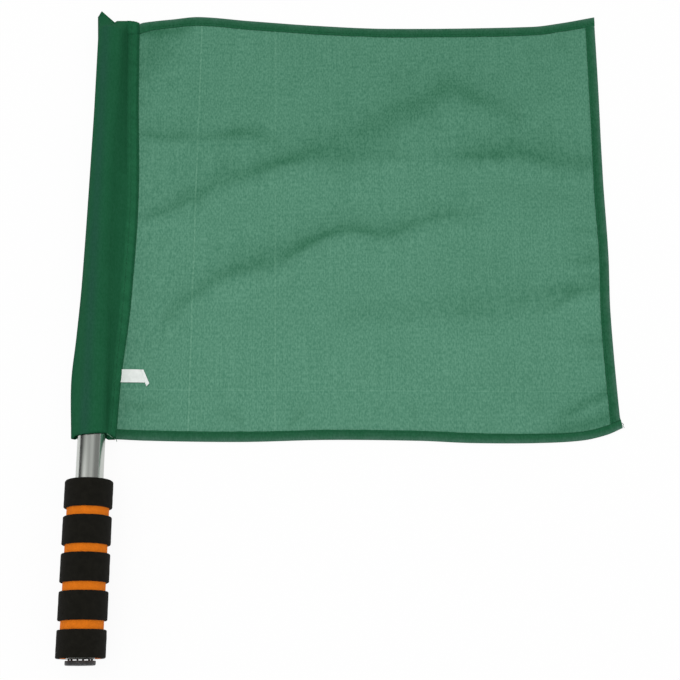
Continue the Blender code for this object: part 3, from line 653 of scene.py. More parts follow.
def fold_shades(x, y):
    """How much painted shade each fold puts on a point: soft above its path, sharper below, with a faint
    painted highlight just below it.
    """
    spread = 1 + 0.28 * ripple(x, y, 6, (31.0, 15.0))
    uneven = np.clip(1 + 0.24 * ripple(x, 0.6 * y, 7, (27.0, 13.0)), 0.4, 1.5)
    shades = []
    for _, strength, above, below, offset in fold_reaches(x, y):
        above, below = above * spread, below * spread
        core = bell(offset, np.where(offset > 0, above, below))
        halo = bell(offset, np.where(offset > 0, 3.0 * above, 1.8 * below))
        fold_highlight = bell(offset + 3.2 * below, 1.8 * below)
        dark = strength * uneven * (0.50 * core + 0.36 * halo) - 0.07 * strength * fold_highlight
        shades.append(np.clip(dark, -1, 0.97))
    return shades


def fold_height(x, y, across, up):
    """How high the folds and the small ripples lift the panel, less near its edges."""
    total = 0
    for height, strength, above, below, offset in fold_reaches(x * 1000, y * 1000):
        lift = bell(offset, np.where(offset > 0, 2.2 * above + 5, 2.0 * below + 4))
        total = total + height * np.sqrt(strength) * lift / 1000
    inset = np.minimum(np.minimum(across, 1 - across) * PANEL_WIDTH, np.minimum(up, 1 - up) * PANEL_HEIGHT)
    total = total * mix(0.2, 1.0, ease(inset / 0.026))
    soft = 0.00020 * ripple(x, y, 11, (0.021, 0.034, 0.055)) + 0.00008 * ripple(x, y, 12, (0.009, 0.013))
    return total + (0.00032 + soft) * ease(inset / 0.004)


def panel_point(across, up):
    """A point of the panel's middle surface, from shares across and up the finished flag."""
    left = strip_edge(SLEEVE_MOUTH + up * PANEL_HEIGHT)[..., 0]
    first = strip_edge(SLEEVE_MOUTH)[0]
    right = first + PANEL_WIDTH + along_curve(FLY_EDGE, up)
    x = mix(left, right, across)
    low = SLEEVE_MOUTH + along_curve(BOTTOM_EDGE, across)
    high = SLEEVE_MOUTH + PANEL_HEIGHT + along_curve(TOP_EDGE, across)
    y = mix(low, high, up)
    fall = bell(x - left, SEAM_FALL)
    rest = SEAM_THICKNESS / 2
    z = rest + (strip_edge(y)[..., 1] - rest) * fall + fold_height(x, y, across, up) * (1 - fall)
    return np.stack([x, y, z], -1)


def cloth_point(out, up):
    """A point of the flag's middle surface, out being the distance from the pocket's stitching."""
    out, up = np.broadcast_arrays(np.asarray(out, float), np.asarray(up, float))
    along = SLEEVE_MOUTH + up * PANEL_HEIGHT
    strip = pocket_seam(along) + strip_direction(along) * out[..., None]
    on_strip = np.stack([strip[..., 0], along, strip[..., 1]], -1)
    on_panel = panel_point(np.maximum(out - STRIP_WIDTH, 0) / PANEL_WIDTH, up)
    return np.where((out <= STRIP_WIDTH)[..., None], on_strip, on_panel)


def cloth_normal(out, up):
    """The middle surface's upward normal, averaged over a short distance."""
    out, up = np.broadcast_arrays(np.asarray(out, float), np.asarray(up, float))
    step = 0.0012
    rise = step / PANEL_HEIGHT
    across = cloth_point(np.minimum(out + step, FLY), up) - cloth_point(out - step, up)
    along = cloth_point(out, np.minimum(up + rise, 1)) - cloth_point(out, np.maximum(up - rise, 0))
    normal = np.cross(across, along)
    return normal / np.linalg.norm(normal, axis=-1, keepdims=True)


def above_cloth(out, up, lift):
    """A point at a height off the cloth's middle surface, in the frame's own place."""
    return cloth_point(out, up) + cloth_normal(out, up) * np.asarray(lift, float)[..., None] + SHIFT


def grid_faces(rows, columns, first=0, flip=False):
    faces = []
    for row in range(rows - 1):
        for column in range(columns - 1):
            corner = first + row * columns + column
            face = (corner, corner + 1, corner + columns + 1, corner + columns)
            faces.append(face[::-1] if flip else face)
    return faces


def closed_sheet(under, over):
    """Points and faces of a closed sheet between two grids of points."""
    rows, columns = under.shape[:2]
    count = rows * columns
    faces = grid_faces(rows, columns, 0, True) + grid_faces(rows, columns, count)
    rim = list(range(columns))
    rim += [row * columns + columns - 1 for row in range(1, rows)]
    rim += [(rows - 1) * columns + column for column in range(columns - 2, -1, -1)]
    rim += [row * columns for row in range(rows - 2, 0, -1)]
    for index in range(len(rim)):
        a, b = rim[index - 1], rim[index]
        faces.append((a, b, b + count, a + count))
    return np.concatenate([under.reshape(-1, 3), over.reshape(-1, 3)]), faces


def stations(start, end, step):
    """Evenly spaced places, about a step apart, with both ends among them."""
    return np.linspace(start, end, max(2, int(round((end - start) / step)) + 1))


# Sewing


def merged(meshes):
    """Points and faces of several meshes as one."""
    points, faces = [], []
    for more, shapes in meshes:
        faces += [tuple(index + len(points) for index in face) for face in shapes]
        points += list(more)
    return points, faces


def stitched(places, normals, look, seed):
    """Points and faces of the stitches along a path, each a short arched thread that dives into the cloth."""
    choice = np.random.default_rng(seed)
    length, gap, radius = look.stitch_length, look.stitch_gap, look.thread_width / 2
    steps = np.linalg.norm(np.diff(places, axis=0), axis=1)
    travelled = np.concatenate([[0], np.cumsum(steps)])
    angles = np.arange(STITCH_SIDES) * math.pi / 3

    def between(rows, spot):
        return np.array([np.interp(spot, travelled, rows[:, k]) for k in range(3)])

    points, faces = [], []
    at = gap
    while at + length < travelled[-1]:
        size = length * choice.uniform(0.9, 1.06)
        sway = radius * choice.uniform(-0.6, 0.6, 2)
        first = len(points)
        for share, height, girth in STITCH_ARCH:
            spot = at + size * share
            place, normal = between(places, spot), between(normals, spot)
            ahead = between(places, spot + 1e-4) - place
            ahead /= max(np.linalg.norm(ahead), 1e-9)
            normal /= np.linalg.norm(normal)
            side = np.cross(ahead, normal)
            centre = place + normal * height * radius + side * mix(sway[0], sway[1], share)
            around = np.outer(np.cos(angles), side) + np.outer(np.sin(angles), normal)
            points += [tuple(point) for point in centre + girth * radius * around]
        for ring in range(first, len(points) - STITCH_SIDES, STITCH_SIDES):
            for k in range(STITCH_SIDES):
                a, b = ring + k, ring + (k + 1) % STITCH_SIDES
                faces.append((a, b, b + STITCH_SIDES, a + STITCH_SIDES))
        faces.append(tuple(range(first, first + STITCH_SIDES)))
        faces.append(tuple(range(len(points) - STITCH_SIDES, len(points))))
        at += size + gap
    return points, faces


def sew(name, paths, look, material):
    """One piece with all the stitches of several paths of places and normals."""
    rows = (stitched(places, normals, look, seed) for seed, (places, normals) in enumerate(paths))
    return piece_from(name, *merged(rows), material, "flag", "green_layers")


def cord_rings(path, radius):
    """Rings of a thin thread along a path, thinner at both ends."""
    rings = []
    for index, place in enumerate(path):
        ahead = (Vector(path[min(index + 1, len(path) - 1)]) - Vector(path[max(index - 1, 0)])).normalized()
        side = ahead.cross(Vector((0, 0, 1))).normalized()
        over = side.cross(ahead)
        girth = radius * (0.5 if index in (0, len(path) - 1) else 1.0)
        turns = [2 * math.pi * k / CORD_SIDES for k in range(CORD_SIDES)]
        rings.append([Vector(place) + (side * math.cos(a) + over * math.sin(a)) * girth for a in turns])
    return rings


# Sizes and colours that a user would change


def colour_property(name, description, default):
    return FloatVectorProperty(name=name, description=description, default=default, size=3, min=0, max=1,
                               subtype="COLOR")


def length_property(name, description, default):
    return FloatProperty(name=name, description=description, default=default, min=0, max=0.05, precision=5,
                         subtype="DISTANCE", unit="LENGTH")


class FlagSewing(bpy.types.PropertyGroup):
    """How the flag is sewn."""

    stitch_length: length_property("Stitch length", "Length of one stitch", 0.0021)
    stitch_gap: length_property("Stitch gap", "Gap between two stitches", 0.0006)
    thread_width: length_property("Thread", "Diameter of the sewing thread", 0.00032)
    hem_stitch_inset: length_property("Hem stitching", "Distance of its stitching from the edge", 0.0058)
    pucker: length_property("Pucker", "How far the hem's layers swell between stitches", 0.00025)
    panel_step: length_property("Panel mesh", "Distance between the points of the panel's mesh", 0.0020)
    sleeve_step: length_property("Sleeve mesh", "Distance between the points along the sleeve", 0.0020)


class FlagColours(bpy.types.PropertyGroup):
    """Colours of the cloth, the thread and the handle."""

    panel: colour_property("Cloth", "One layer of the thin cloth, lying flat", (0.1085, 0.2905, 0.1945))
    # Painted shade of the panel: under its folds, and darker towards its top and right.
    panel_painted_shade: colour_property("Lifted cloth", "The thin cloth where it stands off the floor",
                                  (0.034, 0.150, 0.080))
    hem: colour_property("Hem", "Three layers of the cloth together", (0.0165, 0.107, 0.0475))
    # Painted highlight where the hem's edge turns over.
    hem_painted_highlight: colour_property("Hem edge", "The hem where it turns over", (0.055, 0.148, 0.098))
    sleeve: colour_property("Sleeve", "The cloth round the pole", (0.0200, 0.1360, 0.0600))
    # Painted shade: the sleeve at its left fold, in its creases and puckers, and inside its mouth.
    sleeve_painted_shade: colour_property("Sleeve in shade", "The cloth of the sleeve in its creases",
                                 (0.0055, 0.0540, 0.0225))
    # Painted sheen: the paler, greyer cloth over the top of the pole and along the left fold.
    sleeve_painted_sheen: colour_property("Stretched sleeve", "The cloth where it is drawn over the pole",
                                      (0.0178, 0.0880, 0.0520))
    frayed: colour_property("Frayed edge", "Loose fibres at the sleeve's mouth", (0.20, 0.36, 0.26))
    thread: colour_property("Thread", "Sewing thread", (0.020, 0.115, 0.055))
    label: colour_property("Label", "Bare satin tape", (0.93, 0.97, 0.94))
    steel: colour_property("Steel", "Polished tube", (0.585, 0.610, 0.580))
    black_foam: colour_property("Black foam", "Rings of the grip", (0.0075, 0.0070, 0.0052))
    orange_foam: colour_property("Orange foam", "Core of the grip", (0.80, 0.195, 0.010))
    plug: colour_property("Plugs", "Moulded plugs of the tube", (0.033, 0.034, 0.036))


class FlagStage(bpy.types.PropertyGroup):
    """The light and the floor."""

    sky: FloatProperty(name="Sky", description="Strength of the even light from all sides", default=0.72,
                       min=0, max=4)
    lamp: FloatProperty(name="Lamp", description="Power of the large lamp overhead", default=7.0, min=0,
                        max=200, subtype="POWER", unit="POWER")
    floor_width: FloatProperty(name="Floor", description="Width of the floor", default=30.0, min=1, max=50,
                               subtype="DISTANCE", unit="LENGTH")


# The pole and its grip


class FLAG_OT_tube(bpy.types.Operator):
    """Make the steel tube with rounded lips"""

    bl_idname = "flag.tube"
    bl_label = "Steel tube"

    def execute(self, context):
        profile = arc((TUBE_RADIUS - TUBE_LIP, TUBE_END - TUBE_LIP), TUBE_LIP, 90, 0, 4)
        profile += straight(TUBE_RADIUS, TUBE_END - 0.01, TUBE_START + 0.01, 90)
        profile += arc((TUBE_RADIUS - TUBE_LIP, TUBE_START + TUBE_LIP), TUBE_LIP, 0, -90, 4)
        profile += [(BORE_RADIUS, TUBE_START), (BORE_RADIUS, TUBE_END)]
        steel = steel_finish(context.scene.flag_colours.steel)
        tube = piece_of("steel_tube", turned(profile, 128), steel, "handle", "tube_steel", POLE_PLACE)
        x, y, along = vertex_places(tube).T
        # Painted highlight along the top of the tube, left of its line, fading out towards the sleeve's
        # mouth.
        wear_and_painted_highlight = bell(x + PAINTED_LIGHT_LINE, 0.0026) * ease((0.152 - along) / 0.030) * (y < 0)
        put_attribute(tube, "wear_and_painted_highlight", wear_and_painted_highlight)
        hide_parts("pole_tube")
        return {"FINISHED"}


class FLAG_OT_plugs(bpy.types.Operator):
    """Make the butt plug with its springy fingers, and give the tip plug its plastic"""

    bl_idname = "flag.plugs"
    bl_label = "Tube plugs"

    def execute(self, context):
        plastic = plastic_finish(context.scene.flag_colours.plug)
        edge, top_edge = FLANGE_EDGE, FLANGE_EDGE / 2
        profile = [(0.0, DIMPLE_DEPTH), (DIMPLE_RADIUS - 0.0004, DIMPLE_DEPTH), (DIMPLE_RADIUS, 0.0)]
        profile += arc((FLANGE_RADIUS - edge, edge), edge, -90, 0, 8)
        profile += arc((FLANGE_RADIUS - top_edge, FLANGE_THICKNESS - top_edge), top_edge, 0, 90, 6)
        profile.append((0.0, FLANGE_THICKNESS))
        shape = turned(profile, 96)
        reach, end, side = BORE_RADIUS - FIT_GAP, TUBE_START + FINGER_LENGTH, FINGER_WIDTH / 2
        inner = reach - FINGER_DEPTH
        for index in range(FINGER_COUNT):
            turn = Matrix.Rotation(2 * math.pi * (index / FINGER_COUNT + 0.25), 3, "Z")
            rings = []
            for height, outer in ((FLANGE_THICKNESS - FINGER_SUNK, reach), (end - TIP_BEVEL_LENGTH, reach),
                                  (end, reach - TIP_BEVEL_DEPTH)):
                corners = ((outer, -side), (outer, side), (inner, side), (inner, -side))
                rings.append([turn @ Vector((*corner, height)) for corner in corners])
            capped(rings, shape)
        plug = piece_of("butt_plug", shape, plastic, "handle", "plug_plastic", POLE_PLACE)
        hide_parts("end_plug")
        frame["nodes"]["tip_plug"].material_slots[0].material = plastic
        return {"FINISHED"}


class FLAG_OT_grip(bpy.types.Operator):
    """Make the orange foam core and the five black foam rings on it"""

    bl_idname = "flag.grip"
    bl_label = "Foam grip"

    def execute(self, context):
        colours = context.scene.flag_colours
        orange = foam_finish("orange_foam", colours.orange_foam, toned(colours.orange_foam, 0.86), True)
        start, end, inner = CORE_START, RING_ENDS[-1], TUBE_RADIUS + FIT_GAP
        profile = straight(CORE_RADIUS, end, start, 120) + [(inner, start), (inner, end)]
        shape = roughen(turned(profile, TURN_STEPS), depth=0.00008, size=0.004, seed=1.0)
        core = piece_of("foam_core", shape, orange, "handle", "orange_foam", POLE_PLACE)
        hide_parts("grip_core")
        black = foam_finish("black_foam", colours.black_foam, toned(colours.black_foam, 1.5), False)
        edge, inner = RING_EDGE, CORE_RADIUS + FIT_GAP
        for index, (start, end) in enumerate(zip(RING_STARTS, RING_ENDS)):
            front = FRONT_RING_EDGE if end == RING_ENDS[-1] else edge
            profile = [(inner, end)] + arc((RING_RADIUS - front, end - front), front, 90, 0, 8)
            profile += straight(RING_RADIUS, end - front, start + edge, 14)[1:-1]
            profile += arc((RING_RADIUS - edge, start + edge), edge, 0, -90, 7) + [(inner, start)]
            shape = roughen(turned(profile, TURN_STEPS), depth=0.00010, size=0.003, seed=7.3 + index)
            ring = piece_of(f"foam_ring_{index + 1}", shape, black, "handle", "black_foam", POLE_PLACE)
            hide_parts(f"grip_ring_{index + 1}")
        return {"FINISHED"}


# The cloth


class FLAG_OT_panel(bpy.types.Operator):
    """Make the thin woven panel with its folds"""

    bl_idname = "flag.panel"
    bl_label = "Flag panel"

    def execute(self, context):
        colours, sewing = context.scene.flag_colours, context.scene.flag_sewing
        tuck = CLOTH + 2 * FIT_GAP
        outs = np.concatenate([[STRIP_WIDTH - STRIP_OVERLAP + FIT_GAP, STRIP_WIDTH - 0.002],
                               stations(STRIP_WIDTH, FLY - CLOTH - 2 * FIT_GAP, sewing.panel_step)])
        ups = stations(tuck / PANEL_HEIGHT, 1 - tuck / PANEL_HEIGHT, sewing.panel_step / PANEL_HEIGHT)
        out, up = np.meshgrid(outs, ups)
        points, faces = closed_sheet(*(above_cloth(out, up, side * CLOTH / 2) for side in (-1, 1)))
        cloth = panel_finish(colours.panel, colours.panel_painted_shade)
        panel = piece_from("panel_cloth", points, faces, cloth, "flag", "green_cloth")
        x, y = (points[:, 0] - SHIFT[0]) * 1000, (points[:, 1] - SHIFT[1]) * 1000
        # The shade attribute is painted shade: darker towards the top and the right, in soft random clouds,
        # and under each fold, with a faint painted highlight just below each fold.
        unshaded = 0.90 - 0.18 * ease((y - 250) / 230) - 0.07 * ease((x - 100) / 300)
        unshaded -= 0.045 * ripple(x, y, 17, (45.0, 80.0, 140.0)) + 0.035 * ripple(x, y, 18, (11.0, 19.0, 30.0))
        for shade in fold_shades(x, y):
            unshaded *= 1 - shade
        put_attribute(panel, "shade", np.clip(1 - unshaded, 0, 1))
        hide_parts("flag_panel")
        return {"FINISHED"}


def hem_section(width, swell):
    """Folded edge in section: distance in from the finished edge, and height off the middle surface."""
    half = SEAM_THICKNESS / 2
    inside = half - CLOTH
    top = [(width, half - 0.0003), (width - 0.0003, half - 0.00004), (width - 0.0011, half - 0.00012),
           (width - 0.0025, half + swell), (0.0032, half + 0.8 * swell), (0.0020, half + 0.4 * swell),
           (0.0010, half)]
    edge = [(x, z * half / HEM_FOLD) for x, z in arc((HEM_FOLD, 0.0), HEM_FOLD, 110, 250, 7)]
    low = [(0.0010, -half), (width, -half), (width, -inside)]
    slot = [(CLOTH + FIT_GAP, -inside), (CLOTH + FIT_GAP, inside), (width, inside)]
    return top + edge + low + slot


def hem_point(node, place, inset, lift):
    """A point of a hem, from its place along the edge, its distance in from it and its height."""
    if node == "fly_hem":
        return above_cloth(FLY - inset, place / PANEL_HEIGHT, lift)
    up = inset / PANEL_HEIGHT
    return above_cloth(place, 1 - up if node == "top_hem" else up, lift)


class FLAG_OT_hems(bpy.types.Operator):
    """Make the three hems, folded round the edges of the panel and puckered by their stitching"""

    bl_idname = "flag.hems"
    bl_label = "Hems"

    def hem(self, node, places, full_width, seed, material, pucker):
        """One hem, with a section at each place along the edge."""
        level = 0 * places
        width = full_width + 0.00028 * ripple(places, level, seed, (0.012, 0.031, 0.07))
        if node == "top_hem":
            width = width + 0.0014 * ease((0.020 - places) / 0.010)
        if node == "bottom_hem":
            width = mix(width, CORNER_WIDTH, ease((places - 0.25) / 0.10))
        swell = pucker * (0.35 + 0.65 * ripple(places, level, seed + 1, (0.0056, 0.0083)))
        rings = []
        for place, *sizes in zip(places, width, swell):
            section = np.array(hem_section(*sizes))
            rings.append(hem_point(node, place, section[:, 0], section[:, 1]))
        hem = piece_of(node + "_cloth", capped(rings), material, "flag", "green_layers")
        # Painted highlight along the turned edge, a little uneven along the hem.
        inset = np.array(hem_section(HEM_WIDTH, 0))[:, 0]
        shade = np.tile(np.interp(inset, *np.transpose(HEM_PAINTED_HIGHLIGHT)), len(rings))
        uneven = np.repeat(ripple(places, level, seed + 2, (0.009, 0.02)), len(inset))
        put_attribute(hem, "shade", np.clip(shade * (1 + 0.3 * uneven) + 0.06 * uneven, 0, 1))
        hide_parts(node)

    def execute(self, context):
        colours, pucker = context.scene.flag_colours, context.scene.flag_sewing.pucker
        cloth = cloth_finish("hem_cloth", colours.hem, colours.hem_painted_highlight, HEM_GRAIN)
        outs = np.concatenate([[STRIP_WIDTH + 0.0002], stations(HEM_START, FLY, HEM_STEP)])
        low, top, step = (size / PANEL_HEIGHT for size in (CORNER_WIDTH, TOP_CORNER_WIDTH, HEM_STEP))
        ups = stations(low, 1 - top, step)
        self.hem("top_hem", outs, TOP_HEM_WIDTH, 21, cloth, pucker)
        self.hem("bottom_hem", outs, HEM_WIDTH, 31, cloth, pucker)
        self.hem("fly_hem", ups * PANEL_HEIGHT, FLY_HEM_WIDTH, 41, cloth, pucker)
        return {"FINISHED"}


class FLAG_OT_sleeve(bpy.types.Operator):
    """Make the sleeve round the pole, with its open mouth, its stitched strip and its closed end"""

    bl_idname = "flag.sleeve"
    bl_label = "Pole sleeve"

    def section(self, along, cloth, openness):
        """The sleeve in section: over the pole, round the left fold and back under it, with the directions in
        degrees in which it leaves and reaches the pocket's stitching."""
        pole = np.array((0.0, pole_height(along)))
        fold, seam = left_fold(along), pocket_seam(along)
        radius, flat = CAVITY_RADIUS + cloth, LEFT_FOLD_RADIUS + cloth
        turns = []
        for centre, fold_radius in ((fold, LEFT_FOLD_RADIUS), (seam, SEAM_SLOT / 2)):
            away = centre - pole
            middle = math.degrees(math.atan2(away[1], away[0]))
            spread = math.degrees(math.acos((radius - (fold_radius + cloth)) / np.linalg.norm(away)))
            turns += [middle - spread, middle + spread]
        left_low, left_high, low, high = turns[0] % 360, turns[1] % 360, *turns[2:]
        points = []
        for centre, size, start, end, number, side in (
                (pole, radius, high, left_low, OVER_POINTS, 1),
                (fold, flat, left_low, left_high, FOLD_POINTS, 0),
                (pole, radius, left_high, low + 360, OVER_POINTS, -1)):
            share = np.linspace(0, 1, number)
            angle = np.radians(mix(start, end, share))
            way = np.stack([np.cos(angle), np.sin(angle)], -1)
            loose = np.sin(share * math.pi) * self.looseness(along, angle) if side else 0 * share
            made = centre + way * (size + loose)[:, None]
            if side:
                order = share if side > 0 else 1 - share
                reach = (order * (number - 1) + 1) / (number + 1)
                flat_points = mix(seam, fold, reach[:, None]) + np.array((0.0, side * flat))
                made = mix(flat_points, made, openness)
            if points:
                points += list(mix(points[-1], made[0], np.linspace(0, 1, BRIDGE_POINTS + 2)[1:-1, None]))
            points += list(made)
        return points, mix(-90, low, openness), mix(90, high, openness)

    def looseness(self, along, angle):
        """How far the cloth stands away from the snug form: soft waves, largest near the mouth."""
        near = 0.55 + 0.9 * bell(along - SLEEVE_MOUTH, 0.06)
        wave = ripple(angle * 0.0099, along + 0 * angle, 51, (0.016, 0.026, 0.05))
        return 0.00034 * near * (1 + wave) + 0.0007 * bell(along - SLEEVE_MOUTH, 0.005)

    def strip(self, along, low, high):
        """The slotted strip in section, from under the pocket's stitching round its edge and back over it."""
        seam, out = pocket_seam(along), strip_direction(along)
        up = np.array((-out[1], out[0]))
        facing = math.degrees(math.atan2(up[1], up[0]))
        half, inside = SEAM_THICKNESS / 2, SEAM_SLOT / 2
        slot = STRIP_WIDTH - STRIP_OVERLAP

        def mitred(first, second):
            middle = math.radians((first + second) / 2)
            reach = half / math.cos(math.radians((first - second) / 2))
            return seam + np.array((math.cos(middle), math.sin(middle))) * reach

        under = mitred(low, facing - 180)
        over = mitred(high, facing)
        edge = seam + out * STRIP_WIDTH
        swell = 0.00022 * (1 + ripple(np.array(along), np.array(0.0), 61, (0.0061, 0.009, 0.02)))
        run = [under] + [mix(under, edge - up * half, share) for share in (0.3, 0.65)]
        run += [edge - up * half, edge - up * inside, seam + out * slot - up * inside,
                seam + out * slot + up * inside, edge + up * inside, edge + up * (half - 0.0002)]
        for share, lift in ((0.96, 0.0), (0.86, -0.00012), (0.70, swell), (0.50, swell), (0.36, -0.00012),
                            (0.22, swell), (0.10, 0.0)):
            run.append(mix(over, edge + up * half, share) + up * lift)
        return run + [over]

    def placed(self, points, along, closing):
        """The section's points in place, drawn out to the closed end's outline as the pocket closes."""
        points = np.array(points)
        ends = np.array([sleeve_outline(p[0]) for p in points])
        forward = mix(CLOSING_START, ends, closing) if closing else 0 * ends + along
        return np.stack([points[:, 0], forward, np.maximum(points[:, 1], 0.00002)], -1)

    def outer(self, along, openness, closing=0.0):
        """The outside of the sleeve and its strip; openness is 1 where it is round and 0 where it is flat."""
        points, low, high = self.section(along, CLOTH, openness)
        return self.placed(points + self.strip(along, low, high), along, closing)

    def inner(self, along, openness, closing=0.0):
        """The inside of the pocket, as for the outside."""
        points, low, high = self.section(along, 0.0, openness)
        for angle in np.radians(np.linspace(low, high, 5)):
            way = np.array((math.cos(angle), math.sin(angle)))
            points.append(pocket_seam(along) + way * SEAM_SLOT / 2 * mix(0.5, 1.0, openness))
        return self.placed(points, along, closing)

    def ragged(self, ring, depth):
        """The cut mouth: frayed, with a flap at each side, and its upper layer drawn back by the seam."""
        across, height = ring[:, 0], ring[:, 2]
        left, seam, edge = left_fold(SLEEVE_MOUTH), pocket_seam(SLEEVE_MOUTH), strip_edge(SLEEVE_MOUTH)
        wave = ripple(across, height, 71, (0.0030, 0.0055, 0.012))
        flap = 0.0014 * bell(across - left[0] - 0.0012, 0.0018)
        flap += 0.0012 * bell(across - seam[0] - 0.0012, 0.0022)
        middle = np.interp(across, (seam[0], edge[0]), (seam[1], edge[1]))
        above = ease((height - middle + 0.0002) / 0.0006)
        drawn = above * np.interp(across, *np.transpose(DRAWN_BACK))
        flap = np.where(across > 0.005, flap * (1 - 0.6 * above), flap)
        lip = 0.0006 * np.maximum(height - 0.010, 0) / 0.016
        ring[:, 1] += depth * (0.00055 * wave - flap - lip + drawn)
        return ring

    def execute(self, context):
        colours, sewing = context.scene.flag_colours, context.scene.flag_sewing
        places = np.concatenate([[SLEEVE_MOUTH, SLEEVE_MOUTH + 0.0008],
                                 stations(SLEEVE_MOUTH + 0.002, CLOSING_START, sewing.sleeve_step)])
        outside, inside = [], []
        for index, along in enumerate(places):
            depth = MOUTH_FADE[index] if index < len(MOUTH_FADE) else 0.0
            outside.append(self.ragged(self.outer(along, 1.0), depth))
            inside.append(self.ragged(self.inner(along, 1.0), depth))
        for closing in np.linspace(0, 1, CLOSING_STEPS + 1)[1:]:
            along = mix(CLOSING_START, SLEEVE_TOP, closing)
            openness = max(1 - closing / FLAT_SHARE, 0.0)
            outside.append(self.outer(along, openness, closing))
            if openness > 0.04:
                inside.append(self.inner(along, openness, closing))
        shape = bmesh.new()
        outer_rows = loop_rows(shape, [ring + SHIFT for ring in outside])
        inner_rows = loop_rows(shape, [ring + SHIFT for ring in inside])
        ring, lining = outer_rows[-1], inner_rows[-1]
        self.close_layers(shape, ring)
        self.close_strip(shape, ring)
        self.close_layers(shape, lining)
        shape.faces.new((lining[0], *lining[SECTION_POINTS - 1:]))
        mouth = (outer_rows[0], inner_rows[0])
        rim = [shape.edges.get((row[index - 1], row[index])) for row in mouth for index in range(len(row))]
        bmesh.ops.triangle_fill(shape, edges=rim, use_beauty=True, normal=(0, 1, 0))
        cloth = cloth_finish("sleeve_cloth", colours.sleeve, colours.sleeve_painted_shade, SLEEVE_GRAIN,
                             stretched=colours.sleeve_painted_sheen)
        sleeve = piece_of("sleeve_cloth", shape, cloth, "flag", "green_layers")
        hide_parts("pole_sleeve")
        x, y, _ = (vertex_places(sleeve) - SHIFT).T
        shade = self.shade(x, y)
        # Painted shade inside the pocket, and a dark painted line of shade along the cut mouth.
        shade[sum(len(row) for row in outer_rows):] = 1.0
        cut = len(ring)
        shade[:cut] = 1.0
        shade[cut:2 * cut] = np.maximum(shade[cut:2 * cut], 0.62)
        put_attribute(sleeve, "shade", shade)
        # Painted sheen over the top of the pole, to the left of its line, and along the left fold.
        over_pole = bell(x + PAINTED_LIGHT_LINE, 0.0042) * ease((0.4800 - y) / 0.006)
        at_fold = 0.45 * bell(x - left_fold(y)[:, 0], 0.0014)
        uneven = 1 + 0.22 * ripple(x, y, 84, (0.03, 0.06))
        put_attribute(sleeve, "painted_sheen", np.clip(0.88 * over_pole * uneven + at_fold, 0, 1))
        return {"FINISHED"}

    def close_layers(self, shape, ring):
        """Closes a flat ring between its upper and lower layers, and at its left fold."""
        lower = ring[SECTION_POINTS - 1:SECTION_POINTS - OVER_POINTS - 1:-1]
        for index in range(OVER_POINTS - 1):
            shape.faces.new((ring[index], ring[index + 1], lower[index + 1], lower[index]))
        shape.faces.new(ring[OVER_POINTS - 1:SECTION_POINTS - OVER_POINTS + 1])

    def close_strip(self, shape, ring):
        """Closes the end of the slotted strip layer by layer, from the flat end's first and last points."""
        strip = ring[SECTION_POINTS:]
        shape.faces.new((ring[0], ring[SECTION_POINTS - 1], strip[0], strip[16]))
        for corners in ((16, 15, 14, 13, 6, 5, 1, 0), (13, 12, 11, 10, 9, 8, 7, 6), (1, 5, 4, 3, 2)):
            shape.faces.new([strip[corner] for corner in corners])

    def shade(self, x, y):
        """Painted shade: deeper at the left fold, paler beside the seam and on the strip, darker at the
        strip's edge, and in its puckers and the creases.
        """
        seam = pocket_seam(y)[:, 0]
        dip = bell(x - seam + 0.0030, 0.0036)
        left = bell(x - left_fold(y)[:, 0], 0.0022)
        soft = 0.045 * ripple(x, y, 81, (0.02, 0.045)) + 0.035 * ripple(x, y, 82, (0.006, 0.010))
        on_strip = ease((x - seam - 0.0005) / 0.002)
        edge = ease((x - seam - 0.0066) / 0.001)
        pucker = 0.20 * ripple(0.5 * x, y + 0.4 * x, 83, (0.0042, 0.0071, 0.016))
        pucker += 0.16 * ease(sleeve_share(y) / 0.9)
        tone = mix(0.42 - 0.10 * dip + 0.12 * left, 0.07 + pucker + 0.34 * edge, on_strip) + soft
        for line in END_CREASES:
            xs, ys = np.array(line).T
            near = bell(y - np.interp(x, xs, ys), 0.0008)
            tone += 0.40 * near * ease((x - xs[0] + 0.002) / 0.003) * ease((xs[-1] + 0.002 - x) / 0.003)
        return np.clip(tone, 0, 1)


class FLAG_OT_stitching(bpy.types.Operator):
    """Sew the hems, the strip and the closed end, with two loose ends of thread and a frayed edge"""

    bl_idname = "flag.stitching"
    bl_label = "Stitching"

    def path(self, out, up, lift):
        """Places and normals for stitches; out is from the pocket's stitching, up a share of the height."""
        return above_cloth(out, up, lift), cloth_normal(out, up)

    def execute(self, context):
        colours, sewing = context.scene.flag_colours, context.scene.flag_sewing
        thread = thread_finish("sewing_thread", colours.thread)
        half, inset = SEAM_THICKNESS / 2, sewing.hem_stitch_inset
        rise = inset / PANEL_HEIGHT
        outs = stations(HEM_START, FLY - 0.001, 0.002)
        ups = stations(0.004, 0.996, 0.002 / PANEL_HEIGHT)
        hems = [self.path(outs, 1 - rise, half), self.path(outs, rise, half),
                self.path(FLY - inset, ups[ups > 0.012], half)]
        sew("hem_stitching", hems, sewing, thread)
        rows = [self.path(out, ups, half - 0.00004) for out in (0.0032, STRIP_WIDTH - 0.0011)]
        sew("strip_stitching", rows, sewing, thread)
        across = np.linspace(left_fold(SLEEVE_TOP)[0] + 0.004, pocket_seam(SLEEVE_TOP)[0] + 0.009, 24)
        closing = SLEEVE_TOP - 0.0012
        height = pocket_seam(closing)[1] + half - 0.0001
        end = np.array([(x, closing, height) for x in across]) + SHIFT
        sew("end_stitching", [(end, np.tile((0.0, 0.0, 1.0), (len(end), 1)))], sewing, thread)
        fibres = thread_finish("frayed_fibres", colours.frayed)
        for name, radius, path in LOOSE_ENDS:
            yarn = fibres if name == "frayed_mouth_edge" else thread
            shape = capped(cord_rings(np.array(path) + SHIFT, radius))
            piece_of(name, shape, yarn, "flag", "green_layers")
        return {"FINISHED"}


